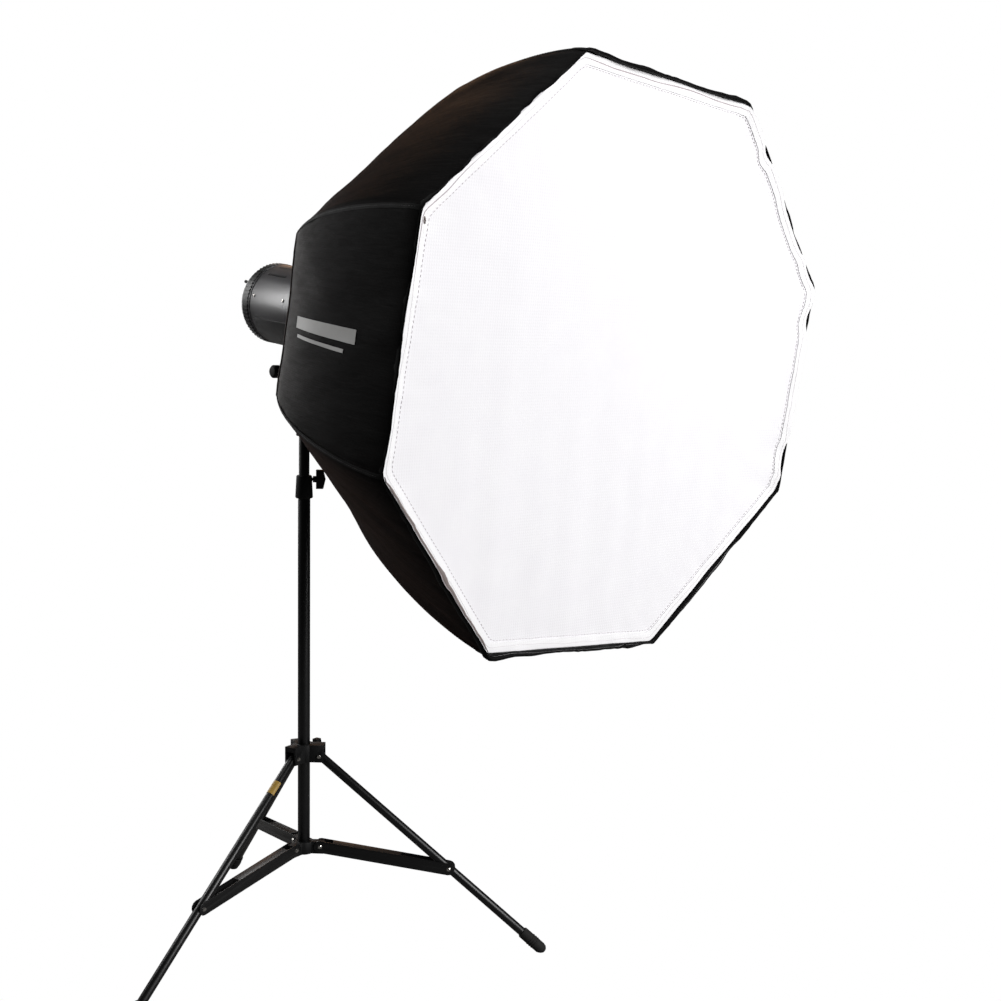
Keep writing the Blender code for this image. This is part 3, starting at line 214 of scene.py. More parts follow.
materials = {
    # Black lacquered aluminium tube, drawn and then stove-enamelled: an even satin gloss.
    "tube": moulded("stove_enamelled_tube", "#0b0b0c", "#060607", (0.34, 0.44), 3.0, 0.02,
                    IOR=1.5),
    # Glass-filled nylon, injection moulded: a fine dry grain and soft dull lights.
    "casting": moulded("moulded_nylon", "#0c0c0d", "#060607", (0.52, 0.64), 1.4, 0.06, IOR=1.53,
                       Specular_IOR_Level=0.25),
    # Vulcanised rubber: dull, with dusty patches.
    "rubber": moulded("vulcanised_rubber", "#1b1a19", "#0d0d0d", (0.74, 0.90), 0.8, 0.35,
                      IOR=1.52),
    # Nickel-plated steel rivet, headed cold: bright, with fine turning marks.
    "rivet": brushed("nickel_plated_rivet", "#d6d3cd", "#a9a6a1", (0.14, 0.30), 0.8,
                     (1.0, 1.0, 1.0), 0.10),
    # Zinc-plated steel stud, turned on a lathe: rings of fine tool marks.
    "spigot": brushed("turned_zinc_stud", "#c9c7c2", "#8f8d89", (0.22, 0.40), 0.7,
                      (0.15, 0.15, 1.0), 0.25),
    # Sheet aluminium tube, powder coated dark grey: orange peel and a broad soft highlight.
    "barrel": moulded("powder_coated_barrel", "#3f3d41", "#302e32", (0.40, 0.50), 1.6, 0.10,
                      40.0, IOR=1.5, Coat_Weight=0.8, Coat_Roughness=0.36),
    # Black ABS, moulded against spark-eroded steel: an even matt grain.
    "cover": moulded("grained_abs", "#1a1a1c", "#0e0e10", (0.38, 0.52), 0.9, 0.22, IOR=1.54),
    # Grey polycarbonate face plate, screen printed from behind: smooth and satin.
    "panel": moulded("satin_face_plate", "#5d5d60", "#525255", (0.36, 0.46), 0.8, 0.06, IOR=1.58),
    # Black ABS with a soft-touch lacquer: nearly no highlight.
    "dial": moulded("soft_touch_knob", "#1c1c1d", "#111112", (0.46, 0.62), 0.6, 0.18, IOR=1.5),
    # Red acetal button, polished by fingers.
    "button": moulded("red_acetal", "#b3241a", "#8f1b14", (0.22, 0.34), 0.9, 0.05, IOR=1.48),
    # Bright-dipped aluminium, spun over a form.
    "reflector": brushed("spun_aluminium", "#e6e6e6", "#c8c8c9", (0.08, 0.20), 1.2,
                         (1.0, 1.0, 0.3), 0.10),
    # Frosted borosilicate glass.
    "glass": moulded("frosted_glass", "#eef1f4", "#dfe4ea", (0.18, 0.34), 0.7, 0.08, IOR=1.47),
    # PVC sleeve, shrunk over the capacitor can.
    "capacitor": moulded("shrunk_pvc_sleeve", "#33456d", "#27365a", (0.28, 0.40), 1.2, 0.08,
                         IOR=1.53),
    # Die-cast aluminium, tumbled: fine pits and a grey satin shine.
    "ring": brushed("tumbled_die_casting", "#b9b9bb", "#909093", (0.30, 0.46), 1.0,
                    (1.0, 1.0, 1.0), 0.20),
    # Pultruded glass-fibre rod.
    "rib": moulded("glass_fibre_rod", "#9b9b94", "#7f7f79", (0.34, 0.50), 0.7, 0.20, IOR=1.55),
    # Coated nylon, woven from fine black yarn: nearly black, with a silky light at the edge. The
    # threads are 0.25 mm apart and are drawn at 1.5 mm, which still shows.
    "shell": woven("coated_black_nylon", "#0d0c0c", "#070606", (0.50, 0.68), 1.5, 0.35, IOR=1.42,
                   Specular_IOR_Level=0.02, Sheen_Weight=0.05, Sheen_Roughness=0.22,
                   Sheen_Tint=colour("#b8683f")),
    # Ripstop diffuser nylon: white, matt and a little see-through, drawn at 2 mm.
    "diffuser": woven("white_diffuser_nylon", "#f8f7f9", "#f2f0f4", (0.72, 0.86), 2.0, 0.10,
                      IOR=1.45),
}
# Nylon laminated with aluminium foil, for the inside: silvery, with many small creases.
silver_lining = woven("silver_lining", "#b4b4b4", "#9a9a9a", (0.26, 0.44), 1.5, 0.60, IOR=1.5)
silver_lining.node_tree.nodes["Principled BSDF"].inputs["Metallic"].default_value = 0.85
# Twill tape folded over the raw edge: a dull black rib, drawn at 1.2 mm.
edge_tape = moulded("black_twill_tape", "#070607", "#030303", (0.66, 0.82), 1.2, 0.50, IOR=1.45,
                    Specular_IOR_Level=0.15)
# Grey with a brown cast, for where the tape turns out: painted light and shade on the black edge, not
# a colour of the cloth.
grey_painted_light_shade = moulded("grey_edge_painted_light_shade", "#8c827f", "#6b615f", (0.66, 0.82), 1.0, 0.70, IOR=1.45)
# The same nylon doubled at the hem, so less of the dark inside shows through.
hem_white = woven("doubled_white_nylon", "#fcfbfc", "#f7f6f8", (0.70, 0.84), 2.0, 0.10, IOR=1.45)
# Grey with a pink cast: painted shade along the step at the hem's edge.
grey_hem_painted_shade = moulded("grey_hem_painted_shade", "#c5b9bb", "#a59da3", (0.60, 0.76), 0.8, 0.40, IOR=1.45)
# Bonded polyester thread, pulled tight.
black_thread = moulded("black_thread", "#1d1c1d", "#111011", (0.45, 0.60), 0.6, 0.30, IOR=1.5)
grey_thread = moulded("grey_thread", "#c9c1c3", "#ada5a7", (0.50, 0.66), 0.6, 0.30, IOR=1.5)
# Screen-printing ink, off-white.
print_ink = moulded("white_print", "#a5a4a0", "#93928f", (0.42, 0.54), 0.8, 0.08, IOR=1.5)
# Brass pin, nickel plated and rubbed by plugs.
contact_pin = brushed("plated_contact_pin", "#c8c2b2", "#9c968a", (0.20, 0.34), 0.7,
                      (1.0, 1.0, 0.2), 0.12)
# Lamp lens in clear green acrylic.
green_lens = moulded("green_lens", "#3f9a4c", "#2f7f3c", (0.12, 0.20), 0.8, 0.03, IOR=1.49)
# Coated paper label, creased a little where it goes round the leg.
paper_label = moulded("yellow_label", "#c8a24a", "#b08c3c", (0.40, 0.55), 1.4, 0.20, IOR=1.5)

for part in frame["record"]["subparts"]:
    for slot in nodes[part["node"]].material_slots:
        slot.material = materials[part["material_slot"]]


# ---------------------------------------------------------------- shaping helpers
def only(obj):
    """Select one object, and nothing else, in object mode."""
    bpy.ops.object.select_all(action="DESELECT")
    obj.select_set(True)
    bpy.context.view_layer.objects.active = obj


def keep_modifiers(obj):
    only(obj)
    for modifier in list(obj.modifiers):
        bpy.ops.object.modifier_apply(modifier=modifier.name)


def thicken(obj, thickness, offset):
    """Give a skin its thickness: offset 1 adds it outside, -1 inside and 0 on both sides."""
    wall = obj.modifiers.new("wall", "SOLIDIFY")
    wall.thickness = thickness
    wall.offset = offset
    return wall


def round_edges(obj, width, angle):
    """Round the edges sharper than an angle."""
    edges = obj.modifiers.new("rounded_edges", "BEVEL")
    edges.width = width
    edges.segments = 2
    edges.limit_method = "ANGLE"
    edges.angle_limit = math.radians(angle)


def reshape(obj, operator, **settings):
    """Run one edit-mode operator on the whole of a mesh."""
    only(obj)
    bpy.ops.object.mode_set(mode="EDIT")
    bpy.ops.mesh.select_all(action="SELECT")
    operator(**settings)
    bpy.ops.object.mode_set(mode="OBJECT")
    return obj


def started(add, place, turn, **size):
    """A primitive to shape further, at a place and turned by a matrix."""
    bpy.ops.object.select_all(action="DESELECT")
    add(location=place, rotation=Matrix(turn).to_euler(), **size)
    return bpy.context.object


def facing_outward(obj):
    """Turn a closed mesh's faces to point out of it."""
    return reshape(obj, bpy.ops.mesh.normals_make_consistent, inside=False)


def finished(obj, name, mat, body, smooth=35):
    """Name a piece, put its place in its mesh, give it a finish and a body to ride on."""
    obj.name = name
    obj.data.name = name
    only(obj)
    bpy.ops.object.transform_apply(location=True, rotation=True, scale=True)
    bpy.ops.object.shade_smooth_by_angle(angle=math.radians(smooth))
    if mat is not None:
        obj.data.materials.clear()
        obj.data.materials.append(mat)
    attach(obj, body)
    return obj


def select_faces(obj, test):
    """In edit mode, select the faces whose centre and normal pass a test."""
    bpy.ops.object.mode_set(mode="OBJECT")
    for polygon in obj.data.polygons:
        polygon.select = bool(test(polygon.center, polygon.normal))
    for edge in obj.data.edges:
        edge.select = False
    for vertex in obj.data.vertices:
        vertex.select = False
    for polygon in obj.data.polygons:
        if polygon.select:
            for index in polygon.vertices:
                obj.data.vertices[index].select = True
    bpy.ops.object.mode_set(mode="EDIT")
    bpy.ops.mesh.select_mode(type="FACE")


def peg(radius, height, place, turn, edge=0.0005, sides=32, dish=0.0, recess=0.0):
    """A round part standing on its place along its own +Z, with a bevelled top.

    `dish` insets the top face by that much, and `recess` sinks it.
    """
    middle = Vector(place) + turn @ Vector((0, 0, height / 2))
    obj = started(bpy.ops.mesh.primitive_cylinder_add, middle, turn, vertices=sides,
                  radius=radius, depth=height)
    select_faces(obj, lambda centre, normal: centre.z > height * 0.49)
    bpy.ops.mesh.bevel(offset=edge, segments=2, affect="EDGES")
    if dish:
        select_faces(obj, lambda centre, normal: centre.z > height * 0.499 and normal.z > 0.99)
        bpy.ops.mesh.inset(thickness=dish, depth=-recess)
    bpy.ops.object.mode_set(mode="OBJECT")
    return obj


def bar(size, place, turn, edge=0.0004):
    """A bevelled bar, its middle at its place."""
    obj = started(bpy.ops.mesh.primitive_cube_add, place, turn, size=1, scale=size)
    bpy.ops.object.transform_apply(location=False, rotation=False, scale=True)
    return reshape(obj, bpy.ops.mesh.bevel, offset=edge, segments=2, affect="EDGES")


def joined(parts):
    """Several parts as one piece."""
    only(parts[0])
    for part in parts[1:]:
        part.select_set(True)
    bpy.ops.object.join()
    return bpy.context.object


def softened(node, body, slot, width):
    """A copy of a frame part with its sharp edges rounded, which stands for it."""
    original = nodes[node]
    obj = original.copy()
    obj.data = original.data.copy()
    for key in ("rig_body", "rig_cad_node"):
        if key in obj:
            del obj[key]
    bpy.context.scene.collection.objects.link(obj)
    obj.parent = None
    only(obj)
    bpy.ops.object.mode_set(mode="EDIT")
    bpy.ops.mesh.select_all(action="SELECT")
    bpy.ops.mesh.remove_doubles(threshold=0.00002)
    bpy.ops.mesh.dissolve_limited(angle_limit=math.radians(2))
    bpy.ops.object.mode_set(mode="OBJECT")
    round_edges(obj, width, 30)
    keep_modifiers(obj)
    finished(obj, node + "_moulding", materials[slot], body, 40)
    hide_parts(node)


# ---------------------------------------------------------------- softbox cloth
PANEL_COLUMNS = 44              # points across one of the eight gores
ROWS = 84                       # rows from the front edge to the rear opening
COLUMNS = SIDES * PANEL_COLUMNS
CLOTH = 0.0008
FULLNESS = 0.0055               # how far the cloth stands out half way back, on its upper side


def rib_curve(fraction):
    """Depth behind the front edge and radius of a corner of the cloth; fraction 0 is the front."""
    controls = ((0.0, FRONT_RADIUS), (0.100 * DEPTH, 1.028 * FRONT_RADIUS),
                (1.088 * DEPTH, 0.820 * FRONT_RADIUS), (DEPTH, REAR_RADIUS))
    rest = 1 - fraction
    weights = (rest**3, 3 * rest**2 * fraction, 3 * rest * fraction**2, fraction**3)
    return [sum(w * point[i] for w, point in zip(weights, controls)) for i in (0, 1)]


def smoothed(values, passes):
    """A closed ring of values, each averaged with its neighbours a number of times."""
    for _ in range(passes):
        values = values / 2 + (np.roll(values, 1, 0) + np.roll(values, -1, 0)) / 4
    return values


def corner(index):
    turn = math.tau * (index + 0.5) / SIDES + ROLL
    return np.array((math.cos(turn), math.sin(turn)))


# How far each corner of the front edge is pulled out of true: outwards, and round the axis
CORNER_PULL = ((-0.0005, -0.0015), (0.0022, -0.0040), (0.0028, 0.0017), (0.0000, 0.0005),
               (0.0000, -0.0020), (0.0060, -0.0070), (0.0000, -0.0030), (0.0010, 0.0055))


def octagon_ring(radius, columns, softening, pulled=0.0):
    """Points (x, up) round an eight-sided outline, with its corners softened.

    `pulled` is how much of each corner's pull out of true this ring has.
    """
    corners = []
    for index in range(SIDES):
        outwards = corner(index)
        onwards = np.array((-outwards[1], outwards[0]))
        out_by, on_by = CORNER_PULL[index]
        corners.append(radius * outwards + pulled * (outwards * out_by + onwards * on_by))
    points = []
    for side in range(SIDES):
        start, end = corners[side], corners[(side + 1) % SIDES]
        points += [start + (end - start) * c / columns for c in range(columns)]
    return smoothed(np.array(points), softening)


def shell_skin():
    """The gores' mid surface: rows of (x, up, back), and the length along a gore at each row."""
    rows, lengths, length = [], [], 0.0
    previous = None
    for row in range(ROWS + 1):
        fraction = row / ROWS
        depth, radius = rib_curve(fraction)
        if previous:
            length += math.hypot(depth - previous[0], radius - previous[1])
        previous = (depth, radius)
        lengths.append(length)
        ring = octagon_ring(radius, PANEL_COLUMNS, 1 if fraction < 0.1 else 2,
                            math.exp(-length / 0.16))
        side = radius * 2 * math.sin(math.pi / SIDES)
        swell = math.sin(math.pi * min(fraction * 1.05, 1.0))
        points = []
        for index, (x, up) in enumerate(ring):
            across = (index % PANEL_COLUMNS) / PANEL_COLUMNS
            reach = math.hypot(x, up)
            height = up / reach             # 1 at the top, -1 at the bottom
            pull = (0.0030 - 0.0045 * height) * math.sin(math.pi * across) * swell
            pull -= FULLNESS * (0.5 + 0.6 * height) * swell
            points.append((x * (1 - pull / reach), up * (1 - pull / reach), FRONT + depth,
                           across, side))
        rows.append(points)
    return rows, lengths


# Where the free edge has crumpled: gore, share of the way along its edge, depth, width
EDGE_NICKS = ((2, 0.310, 0.0060, 0.011), (2, 0.395, 0.0045, 0.008), (2, 0.69, 0.0045, 0.010),
              (2, 0.83, 0.0035, 0.010), (4, 0.58, 0.0040, 0.014), (5, 0.81, 0.0055, 0.008),
              (3, 0.42, 0.0030, 0.040), (1, 0.35, 0.0030, 0.030), (6, 0.60, 0.0030, 0.020),
              (0, 0.30, 0.0030, 0.016))


def edge_nick(gore, across, side):
    """How far the free edge is pushed back at a place along it."""
    total = 0.0
    for where, share, depth, width in EDGE_NICKS:
        if where == gore:
            total += depth * math.exp(-((across - share) * side / width) ** 2)
    return total


def wrinkle(gore, across, side, along, fraction):
    """Height of the cloth's wrinkles: along the seams, slantwise folds, and a gathered edge."""
    from_seam = min(across, 1 - across) * side
    x = (across - 0.5) * side
    seed = gore * 7.31
    near_seam = math.exp(-from_seam / 0.026)
    streaks = noise.noise(Vector((x / 0.0075 + along / 0.10, along / 0.085, seed)))
    streaks += 0.6 * noise.noise(Vector((x / 0.016 - along / 0.13, along / 0.12, seed + 40)))
    slant = noise.noise(Vector(((x + 0.35 * along) / 0.045, along / 0.25, seed + 3)))
    counter = noise.noise(Vector(((x - 0.30 * along) / 0.050, along / 0.25, seed + 9)))
    broad = noise.noise(Vector((x / 0.12, along / 0.16, seed + 17)))
    gather = noise.noise(Vector((x / 0.011, along / 0.05, seed + 23))) * math.exp(-along / 0.030)
    gather += noise.noise(Vector((x / 0.010, along / 0.04, seed + 29))) * (
        math.exp(-(1 - fraction) * DEPTH / 0.06) * 0.8)
    calm = min(1.0, from_seam / 0.004)
    return calm * (0.0012 * streaks * (near_seam + 0.18) + 0.0013 * (slant + counter)
                   + 0.0016 * broad + 0.0010 * gather)


def mesh_of(points, faces, uvs=None):
    """A mesh object from points in the row frame; uvs are per vertex."""
    mesh = bpy.data.meshes.new("piece")
    mesh.from_pydata([tuple(p) for p in points], [], faces)
    if uvs is not None:
        layer = mesh.uv_layers.new(name="cloth")
        for loop in mesh.loops:
            layer.data[loop.index].uv = uvs[loop.vertex_index]
    mesh.validate()
    obj = bpy.data.objects.new("piece", mesh)
    bpy.context.scene.collection.objects.link(obj)
    return obj


def cloth_piece(obj, name, mat):
    return finished(obj, name, mat, "softbox", 60)


def ring_faces(rows, columns):
    """Quads between closed rings of points."""
    return [(row * columns + c, row * columns + (c + 1) % columns,
             (row + 1) * columns + (c + 1) % columns, (row + 1) * columns + c)
            for row in range(rows) for c in range(columns)]


def grid_normals(grid, inside):
    """Outward normals of a grid whose rows close in rings round a point inside."""
    around = np.roll(grid, -1, 1) - np.roll(grid, 1, 1)
    normal = np.cross(around, np.gradient(grid, axis=0))
    normal /= np.linalg.norm(normal, axis=2, keepdims=True)
    row = len(grid) // 4
    return normal * np.sign(np.dot(normal[row, 0], grid[row, 0] - np.array(inside)))


def make_shell():
    rows, lengths = shell_skin()
    flat = np.array([[(x, up, back) for x, up, back, _, _ in row] for row in rows])
    normal = grid_normals(flat, (0, 0, 0))
    points, uvs = [], []
    for row, line in enumerate(rows):
        fraction = row / ROWS
        for c, (x, up, back, across, side) in enumerate(line):
            gore = c // PANEL_COLUMNS
            lift = wrinkle(gore, across, side, lengths[row], fraction)
            nudge = edge_nick(gore, across, side) * math.exp(-lengths[row] / 0.012)
            wave = 0.0012 * noise.noise(Vector((x / 0.05, up / 0.05, 5.0)))
            place = flat[row][c] + normal[row][c] * (lift - 0.0004)
            place[2] += nudge + wave * math.exp(-lengths[row] / 0.02)
            points.append(in_head(*place))
            uvs.append(((across - 0.5) * side + gore * 0.4, lengths[row]))
    shell = mesh_of(points, ring_faces(ROWS, COLUMNS), uvs)
    polygon = shell.data.polygons[COLUMNS * 10]
    if polygon.normal.dot(polygon.center - head_centre) < 0:
        reshape(shell, bpy.ops.mesh.flip_normals)
    wall = thicken(shell, CLOTH, -1)
    wall.material_offset = 1        # the inner side has the silver lining
    wall.material_offset_rim = 0
    shell.data.materials.append(materials["shell"])
    shell.data.materials.append(silver_lining)
    keep_modifiers(shell)
    cloth_piece(shell, "cloth_shell", None)
    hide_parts("softbox_shell")
    return shell, np.array(points).reshape(ROWS + 1, COLUMNS, 3)


shell, skin = make_shell()


def loop_normals(line):
    """Outward directions, square to the head's axis, of a ring of points round it."""
    centre = np.array(line).mean(axis=0)
    rear = np.array(REAR)
    tangent = np.roll(line, -1, 0) - np.roll(line, 1, 0)
    normal = np.cross(tangent, rear)
    normal /= np.linalg.norm(normal, axis=1, keepdims=True)
    sign = np.sign(np.sum(normal * (line - centre), axis=1).mean())
    return normal * sign


def swept(line, first, second, section, closed=True):
    """A tape or cord: a section of (first, second) offsets carried along a line of points."""
    points, count = [], len(section)
    for place, one, two in zip(line, first, second):
        points += [place + one * a + two * b for a, b in section]
    rings = len(line)
    faces = []
    for ring in range(rings if closed else rings - 1):
        following = (ring + 1) % rings
        for i in range(count):
            j = (i + 1) % count
            faces.append((ring * count + i, ring * count + j, following * count + j,
                          following * count + i))
    if not closed:
        faces.append(tuple(range(count)))
        faces.append(tuple((rings - 1) * count + i for i in reversed(range(count))))
    return facing_outward(mesh_of(points, faces))


def oval(width, height, steps=10, shift=(0.0, 0.0)):
    """A rounded section for a tape."""
    return [(shift[0] + width / 2 * math.cos(math.tau * i / steps),
             shift[1] + height / 2 * math.sin(math.tau * i / steps)) for i in range(steps)]


STITCH_PITCH = 1.55             # from stitch to stitch, of a stitch's length


def stitches(name, line, normals, length, thickness, mat):
    """A row of small stitches along a line: each a six-sided spindle."""
    line, normals = np.array(line), np.array(normals)
    gaps = np.linalg.norm(np.diff(line, axis=0), axis=1)
    run = np.concatenate(([0.0], np.cumsum(gaps)))
    points, faces = [], []
    for start in np.arange(0, run[-1] - length, length * STITCH_PITCH):
        ends = [np.array([np.interp(at, run, line[:, k]) for k in range(3)])
                for at in (start, start + length)]
        n = np.array([np.interp(start, run, normals[:, k]) for k in range(3)])
        way = (ends[1] - ends[0]) / np.linalg.norm(ends[1] - ends[0])
        side = np.cross(way, n)
        base = len(points)
        points.append(ends[0])
        for share, size in ((0.15, 0.8), (0.5, 1.0), (0.85, 0.8)):
            middle = ends[0] + (ends[1] - ends[0]) * share
            points += [middle + (n * math.sin(math.tau * i / 6) + side * math.cos(math.tau * i / 6))
                       * thickness / 2 * size for i in range(6)]
        points.append(ends[1])
        for i in range(6):
            j = (i + 1) % 6
            faces.append((base, base + 1 + j, base + 1 + i))
            for ring in (0, 1):
                a, b = base + 1 + ring * 6, base + 7 + ring * 6
                faces.append((a + i, a + j, b + j, b + i))
            faces.append((base + 13 + i, base + 13 + j, base + 19))
    return cloth_piece(facing_outward(mesh_of(points, faces)), name, mat)


def closed_line(line):
    return np.concatenate((line, line[:1]))


# The tape folded over the front edge, 12 mm deep, following the edge's own waves
TAPE_THICKNESS = (0.0016, 0.0042, 0.0026, 0.0024, 0.0024, 0.0052, 0.0040, 0.0016)
# Where the tape bunches up: gore, share of the way along, extra thickness, half length in metres
TAPE_BUNCHES = ((1, 0.67, 0.0032, 0.022), (1, 0.10, 0.0030, 0.026), (1, 0.93, 0.0020, 0.014),
                (5, 0.06, 0.0042, 0.060), (5, 0.83, 0.0030, 0.014), (6, 0.50, 0.0012, 0.060),
                (6, 0.88, -0.0018, 0.040), (5, 0.97, -0.0016, 0.020), (2, 0.97, 0.0016, 0.015))
SIDE_LENGTH = 2 * FRONT_RADIUS * math.sin(math.pi / SIDES)


def tape_thickness(index):
    gore, share = divmod(index / PANEL_COLUMNS, 1)
    thickness = TAPE_THICKNESS[int(gore)]
    for where, middle, extra, half in TAPE_BUNCHES:
        if where == gore:
            thickness += extra * math.exp(-((share - middle) * SIDE_LENGTH / half) ** 2)
    return thickness * (1 + 0.22 * noise.noise(Vector((index / 4.0, 0.7, 9.1))))


front_edge = skin[0]
edge_out = loop_normals(front_edge)
rear_way = np.tile(np.array(REAR), (len(front_edge), 1))
thicknesses = smoothed(np.array([tape_thickness(i) for i in range(COLUMNS)]), 2)
tape_middle = front_edge + edge_out * (thicknesses / 2 - 0.0018)[:, None]
rim_tape = swept(tape_middle, edge_out * (thicknesses / 0.0030)[:, None], rear_way,
                 oval(0.0030, 0.0130, 12, (0.0, 0.0056)))
cloth_piece(rim_tape, "rim_tape", edge_tape)
stitch_row = tape_middle + edge_out * (thicknesses / 2 - 0.0004)[:, None] + rear_way * 0.0085
stitches("rim_stitches", closed_line(stitch_row), closed_line(edge_out), 0.0032, 0.0007,
         black_thread)

# A grey strip along the lower left of the edge, tapering at its ends: painted light and shade where
# the tape turns out; the paler piping along it is a painted highlight
PAINTED_EDGE_GORE = 4
first, last = PAINTED_EDGE_GORE * PANEL_COLUMNS, (PAINTED_EDGE_GORE + 1) * PANEL_COLUMNS - 1
painted_edge_line, painted_edge_out = [], []
for index in range(first, last + 1):
    share = (index - first) / (last - first)
    swell = min(1.0, 0.15 + share * 12, 0.15 + (1 - share) * 12)
    swell *= 0.72 + 0.75 * math.exp(-((share - 0.55) / 0.06) ** 2)
    swell *= 1.0 + 0.35 * noise.noise(Vector((index / 6, 0.3, 1.7)))
    painted_edge_line.append(front_edge[index] - edge_out[index] * (0.0016 + 0.0020 * swell)
                        - rear_way[index] * 0.0010)
    painted_edge_out.append(edge_out[index] * swell)
painted_edge_line, painted_edge_out = np.array(painted_edge_line), np.array(painted_edge_out)
painted_edge_way = rear_way[first:last + 1]
welt = swept(painted_edge_line, painted_edge_out, painted_edge_way, oval(0.0050, 0.0026, 10), closed=False)
cloth_piece(welt, "grey_edge_painted_light_shade", grey_painted_light_shade)
piped = swept(painted_edge_line + painted_edge_out * 0.0026 - np.array(REAR) * 0.0008, painted_edge_out,
              painted_edge_way, oval(0.0011, 0.0012, 8), closed=False)
cloth_piece(piped, "grey_piping_painted_highlight", grey_thread)

# Each seam over a rib: a raised fell, and a row of stitches
SEAM_END = ROWS - 1
surface_out = grid_normals(skin, head_centre)
for seam in range(SIDES):
    column = seam * PANEL_COLUMNS
    line = skin[:SEAM_END, column]
    out = surface_out[:SEAM_END, column]
    way = np.gradient(line, axis=0)
    way /= np.linalg.norm(way, axis=1, keepdims=True)
    side = np.cross(way, out)
    fell = swept(line, out, side, oval(0.0018, 0.0072, 10), closed=False)
    cloth_piece(fell, "seam_%d" % (seam + 1), edge_tape)
    stitches("seam_stitches_%d" % (seam + 1), (line + out * 0.0009)[4:],
                                out[4:], 0.0034, 0.0006, black_thread)

# Elastic band that draws the rear opening round the speedring
cuff = swept(skin[ROWS], loop_normals(skin[ROWS]), rear_way, oval(0.0052, 0.0046, 12))
cloth_piece(cuff, "rear_cuff", edge_tape)

# Where the sides turn in to the rear, a fine grey piping is sewn all round; its pale grey is a
# painted highlight, standing for rim light along the outline
PIPING_ROW = 54
piping_line = skin[PIPING_ROW] + surface_out[PIPING_ROW] * 0.0009
piping_way = np.cross(surface_out[PIPING_ROW],
                      np.roll(piping_line, -1, 0) - np.roll(piping_line, 1, 0))
piping_way /= np.linalg.norm(piping_way, axis=1, keepdims=True)
piping_painted_rim_light = swept(piping_line, surface_out[PIPING_ROW], piping_way, oval(0.0022, 0.0022, 8))
cloth_piece(piping_painted_rim_light, "piping_painted_rim_light", grey_painted_light_shade)


def printed_bar(name, gore, middle, row, length, height):
    """A plain bar printed on a gore: a thin strip laid on the cloth."""
    start = gore * PANEL_COLUMNS + middle - length / 2
    rows, columns = 6, 24
    points = []
    for i in range(rows + 1):
        for j in range(columns + 1):
            at, down = start + length * j / columns, row + height * (i / rows - 0.5)
            c, r = int(at), int(down)
            u, v = at - c, down - r
            place = ((skin[r, c] * (1 - u) + skin[r, c + 1] * u) * (1 - v)
                     + (skin[r + 1, c] * (1 - u) + skin[r + 1, c + 1] * u) * v)
            points.append(place + surface_out[r, c] * 0.0007)
    faces = [(i * (columns + 1) + j, i * (columns + 1) + j + 1,
              (i + 1) * (columns + 1) + j + 1, (i + 1) * (columns + 1) + j)
             for i in range(rows) for j in range(columns)]
    obj = mesh_of(points, faces)
    thicken(obj, 0.0004, 0)
    keep_modifiers(obj)
    return cloth_piece(obj, name, print_ink)


# A plain printed mark on the near side: a bar, and a finer one beside it
prints = [printed_bar("print_bar_wide", 3, 22.5, 32, 2.6, 24.0),
          printed_bar("print_bar_fine", 3, 25.4, 33, 0.7, 19.0)]

# ---------------------------------------------------------------- diffuser and baffle
DIFFUSER_RINGS = 40
RING_SPREAD = 0.85              # under 1, so the rings lie closer together near the edge
# How far behind the front edge the diffuser's hem sits, gore by gore
HEM_DEPTH = (0.0030, 0.0110, 0.0075, 0.0065, 0.0080, 0.0100, 0.0070, 0.0030)
HEM_EASE = 10                   # points either side over which one gore's depth eases into the next
# Where the hem has slipped back from over the edge on the far side: gore, middle, half length
HEM_SLIPS = ((0, 0.74, 0.045), (0, 0.33, 0.20), (0, 0.07, 0.08), (7, 0.84, 0.06),
             (7, 0.16, 0.09), (7, 0.02, 0.04))


def hem_depth(index):
    """The hem's depth at a point round the edge, easing from gore to gore."""
    total = 0.0
    for step in range(-HEM_EASE, HEM_EASE + 1):
        total += HEM_DEPTH[(index + step) % COLUMNS // PANEL_COLUMNS]
    return total / (2 * HEM_EASE + 1) + 0.0022 * noise.noise(Vector((index / 7.0, 2.2, 0.4)))


def hem_cover(index):
    """How far the hem is drawn out over the edge: 1 covers it, 0 leaves it bare."""
    gore, share = divmod(index / PANEL_COLUMNS, 1)
    if gore not in (0, 7):
        return 0.0
    bare = max([0.0] + [1 - abs(share - middle) / half for where, middle, half in HEM_SLIPS
                        if where == gore])
    return 1.0 - min(1.0, 2.0 * bare) ** 0.7


def close_middle(points, uvs, columns, back):
    """Add a middle point to the innermost ring of a round sheet, and return its faces."""
    points.append(in_head(0, 0, back))
    uvs.append((0, 0))
    return [(len(points) - 1, (c + 1) % columns, c) for c in range(columns)]


